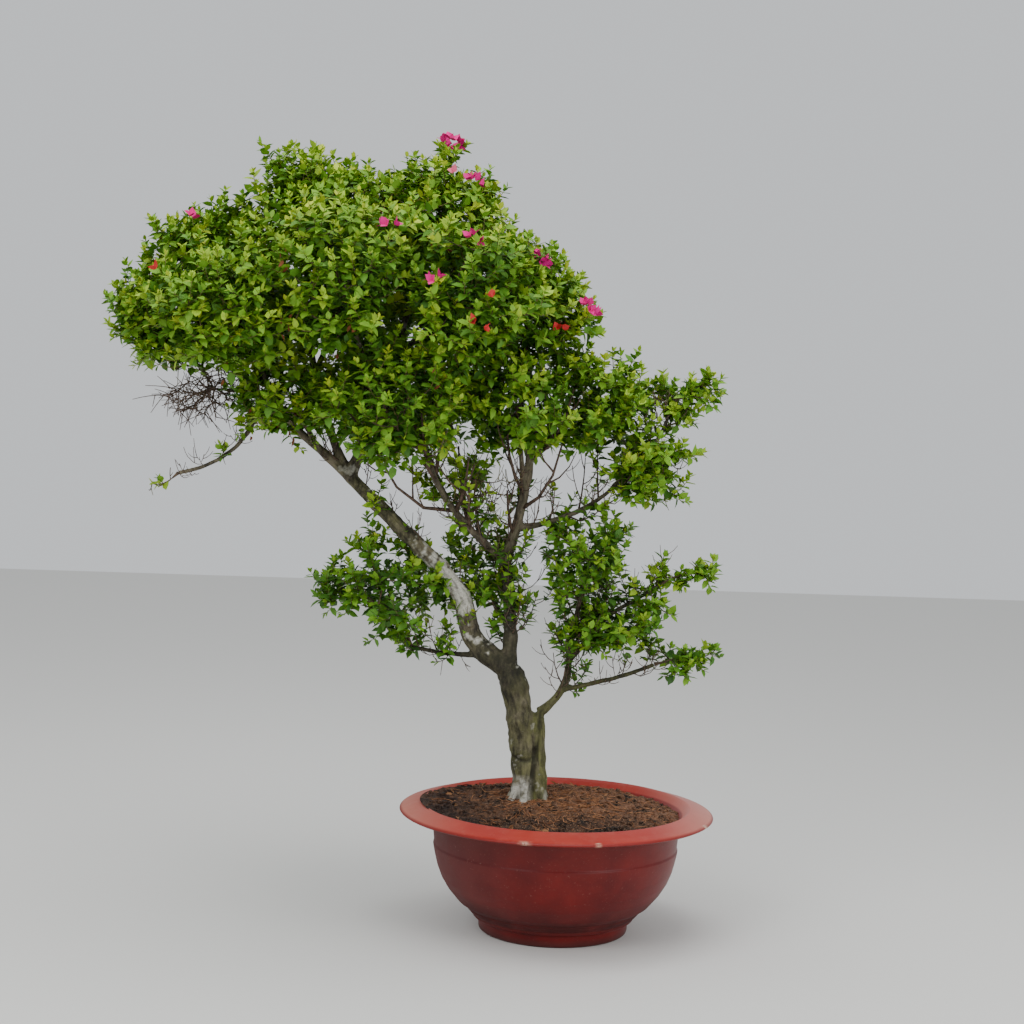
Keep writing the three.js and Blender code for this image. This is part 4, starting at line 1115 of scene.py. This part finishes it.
def make_pot():
    """The pot: foot ring, grooves, swelling wall with a step, and a wide flange, turned from its profile."""
    edge = FLANGE_TOP - FLANGE_DROP
    foot = [(-5, 0), (0, 4), (2, 30), (7, 34), (16, 36), (18, 44), (24, 48), (33, 58), (33, 62)]
    wall = [(245, 76), (272, 108), (289, 136), (300, 164), (307, 192), (312, 218), (309, 222), (312, 250)]
    rim = [(-10, -LIP), (0, 5 - LIP), (-1, -3), (-7, 1), (-26, 6)]
    profile = rounded([
        (0, 0), *((FOOT_RADIUS + out, height) for out, height in foot), *wall, (NECK_RADIUS, edge - LIP - 4),
        *((RIM_RADIUS + out, edge + height) for out, height in rim),
        (MOUTH_RADIUS + 8, FLANGE_TOP), (MOUTH_RADIUS, FLANGE_TOP - 5),
        (NECK_RADIUS - WALL, FLANGE_TOP - MOUTH_DEPTH), (300 - WALL, 170), (245 - WALL, 82),
        (FOOT_RADIUS, FLOOR + 14), (0, FLOOR)], 3)
    points, quads, triangles = turned(profile, POT_SIDES)
    turn = np.arctan2(points[:, 1], points[:, 0])
    radius = np.hypot(points[:, 0], points[:, 1])
    on_lip = (radius > RIM_RADIUS - 9) & (points[:, 2] > edge - LIP - 2)
    chip = np.zeros(len(points))
    for bearing, wide, deep in CHIPS:
        gap = np.abs((turn - math.radians(bearing) + math.pi) % (2 * math.pi) - math.pi) * RIM_RADIUS
        bite = np.clip(1.2 - gap / wide, 0, 1) * on_lip * np.clip(1 + 0.6 * swell(points, 14, 21), 0.2, 1.4)
        chip = np.maximum(chip, np.clip(bite * 1.6, 0, 1))
        points[:, :2] *= (1 - bite * deep / RIM_RADIUS)[:, None]
    points[:, :2] *= (1 + 0.0022 * swell(points, 260, 22) * (radius > 100))[:, None]
    mesh = make_mesh("pot_shell", points, quads, triangles)
    pot = place_piece(mesh, fired_clay(), "earthenware", chip=chip)
    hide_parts("pot")


def soil_reach(turn):
    """How far out the soil lies at a bearing, in mm: farther on the left, where it is heaped."""
    return SOIL_REACH + SOIL_HEAP * np.clip(-np.cos(turn), 0, 1) ** 2


def soil_height(x, y):
    """Height of the soil in mm: a low mound round the trunk that falls to the wall, with clods and hollows,
    and the heap on the left."""
    turn = np.arctan2(y, x)
    out = np.hypot(x, y) / soil_reach(turn)
    places = np.stack([x, y, np.zeros_like(x)], -1)
    mound = np.interp(out, [0, 0.45, 0.6, 0.78, 1],
                      [SOIL_TOP + 2, SOIL_TOP - 2, SOIL_TOP - 8, SOIL_EDGE + 8, SOIL_EDGE - 4])
    heap = (21 * np.clip(-np.cos(turn), 0, 1) ** 2 - 8 * np.clip(np.cos(turn), 0, 1) ** 2) * out ** 5
    clods = 4.2 * swell(places, 60, 31) + 3.4 * swell(places, 22, 32) + 1.8 * swell(places, 9, 33)
    return mound + heap + clods * np.clip((1 - out) * 9, 0.2, 1)


def laid(x, y, lift=0):
    """Places on the soil, lifted off it."""
    return np.stack([x, y, soil_height(x, y) + lift], -1)


def spots(count, power=0.5):
    """Scattered places on the soil. A larger power draws them to the middle."""
    turn = draw.uniform(0, 2 * math.pi, count)
    radius = 0.98 * soil_reach(turn) * draw.uniform(0, 1, count) ** power
    return laid(radius * np.cos(turn), radius * np.sin(turn))


def make_soil():
    """Soil surface on a polar grid, with crumbs, coir fibres and bits of litter lying on it."""
    turn = np.linspace(0, 2 * math.pi, SOIL_SIDES, endpoint=False)
    radius = np.linspace(0.006, 1, SOIL_RINGS)[:, None] * soil_reach(turn)
    surface = laid(radius * np.cos(turn), radius * np.sin(turn)).reshape(-1, 3)
    points = np.concatenate([surface, [[0, 0, SOIL_TOP + 2], [0, 0, SOIL_EDGE - 60]]])
    soil = place_piece(make_mesh("soil_surface", points, *sleeve(SOIL_RINGS, SOIL_SIDES)),
                       potting_soil(), "soil")
    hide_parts("soil")

    # Crumbs: rough lumps of eight corners, rounded by their smooth shading.
    centre = spots(CRUMBS)
    size = draw.uniform(1.4, 3.2, CRUMBS) * draw.uniform(0.6, 1.7, CRUMBS) ** 2
    cube = np.array([[x, y, z] for z in (-1, 1) for y in (-1, 1) for x in (-1, 1)], float)
    lump = (cube + draw.uniform(-0.45, 0.45, (CRUMBS, 8, 3))) * size[:, None, None] * 0.75
    points = (centre[:, None] + lump * [1, 1, 0.7]).reshape(-1, 3)
    sides_of_cube = np.array([[0, 2, 3, 1], [4, 5, 7, 6], [0, 1, 5, 4], [2, 6, 7, 3], [0, 4, 6, 2],
                              [1, 3, 7, 5]])
    faces = (sides_of_cube + (np.arange(CRUMBS) * 8)[:, None, None]).reshape(-1, 4)
    place_piece(make_mesh("soil_crumbs", points, faces), potting_soil(), "soil")

    # Coir fibres: short bent threads, thickest round the trunk.
    start = spots(FIBRES, 0.6)
    start[:FIBRES // 2] = lerp(start[:FIBRES // 2], np.array([-50, -60, SOIL_TOP]), 0.45)
    start = laid(start[:, 0], start[:, 1], 0.5)
    turn = draw.uniform(0, 2 * math.pi, FIBRES)
    length = draw.uniform(18, 58, FIBRES)[:, None]
    flat = np.stack([np.cos(turn), np.sin(turn), draw.uniform(-0.05, 0.16, FIBRES)], -1)
    end = start + flat * length
    inside = np.hypot(end[:, 0], end[:, 1]) < 0.97 * soil_reach(np.arctan2(end[:, 1], end[:, 0]))
    start, end, flat, length = (values[inside] for values in (start, end, flat, length))
    end = laid(end[:, 0], end[:, 1], draw.uniform(0, 4, len(end)))
    bend = (start + end) / 2 + np.cross(flat, UP) * length * draw.uniform(-0.5, 0.5, (len(end), 1))
    bend = laid(bend[:, 0], bend[:, 1], draw.uniform(1, 8, len(end)))
    # Few lie on the damp left side.
    shown = (start[:, 0] > -140) | (np.arange(len(start)) % 3 == 0)
    paths = curve_paths(start, bend, end, 5)[shown]
    place_piece(make_mesh("coir_fibres", *tubes(paths, np.full((len(paths), 5), 0.8), 3)),
                mottled("coir_fibre", "#7b4c2e", "#b07d57", 20, 2, 0.55, 0.4, 0.85, 1.4), "soil")

    # Bits of dry leaf.
    count = LITTER_BITS
    roots = spots(count) + [0, 0, 2]
    turn = draw.uniform(0, 2 * math.pi, count)
    along = np.stack([np.cos(turn), np.sin(turn), draw.uniform(0, 0.5, count)], -1)
    drawn_blades("litter", roots, unit(along), UP + 0.5 * draw.normal(size=(count, 3)), LITTER_BIT,
                 leaf_skin("dry_litter", "#7a5236", "#a98560", 0.85, 1.3), "soil")


def make_stage():
    """A pale floor, soft studio light and the camera."""
    corners = FLOOR_REACH * np.array([[-1, -1, 0], [1, -1, 0], [1, 1, 0], [-1, 1, 0]], float)
    floor = show("floor", make_mesh("floor", corners, np.array([[0, 1, 2, 3]])))
    material, _, sockets = new_material("floor_matt_paint", 0.9)
    sockets["Base Color"].default_value = linear("#d9d8d4")
    floor.data.materials.append(material)

    def stand(thing, place, right, up, back):
        """Stands a light or the camera at a place, turned by its own three axes."""
        axes = np.stack([right, up, back], 1)
        thing.matrix_world = Matrix.Translation(place) @ Matrix(axes.tolist()).to_4x4()

    for name, place, aim, size, watts in LIGHTS:
        light = bpy.data.lights.new(name, "AREA")
        light.size, light.energy = size, watts
        back = unit(np.array(place, float) - np.array(aim, float))
        right = unit(np.cross(UP + [0.01, 0, 0], back))
        stand(show(name, light), place, right, np.cross(back, right), back)

    world = bpy.data.worlds.new("studio")
    bpy.context.scene.world = world
    world.use_nodes = True
    background = world.node_tree.nodes["Background"]
    background.inputs[0].default_value = linear("#e6e9ec")
    background.inputs[1].default_value = 0.9

    down, roll = math.radians(CAMERA_DOWN), math.radians(CAMERA_ROLL)
    right = np.array([1.0, 0, 0])
    up = np.array([0, math.sin(down), math.cos(down)])
    back = np.array([0, -math.cos(down), math.sin(down)])
    camera = bpy.data.cameras.new("camera")
    camera.lens, camera.sensor_width = LENS, SENSOR_WIDTH
    holder = show("camera", camera)
    stand(holder, CAMERA_PLACE, math.cos(roll) * right + math.sin(roll) * up,
          -math.sin(roll) * right + math.cos(roll) * up, back)
    bpy.context.scene.camera = holder


make_stage()
make_pot()
make_soil()
lines = lay_limbs()
make_bark(lines)
tips, aims = make_crown(lines)
make_blossom(tips, aims)

bpy.context.view_layer.update()
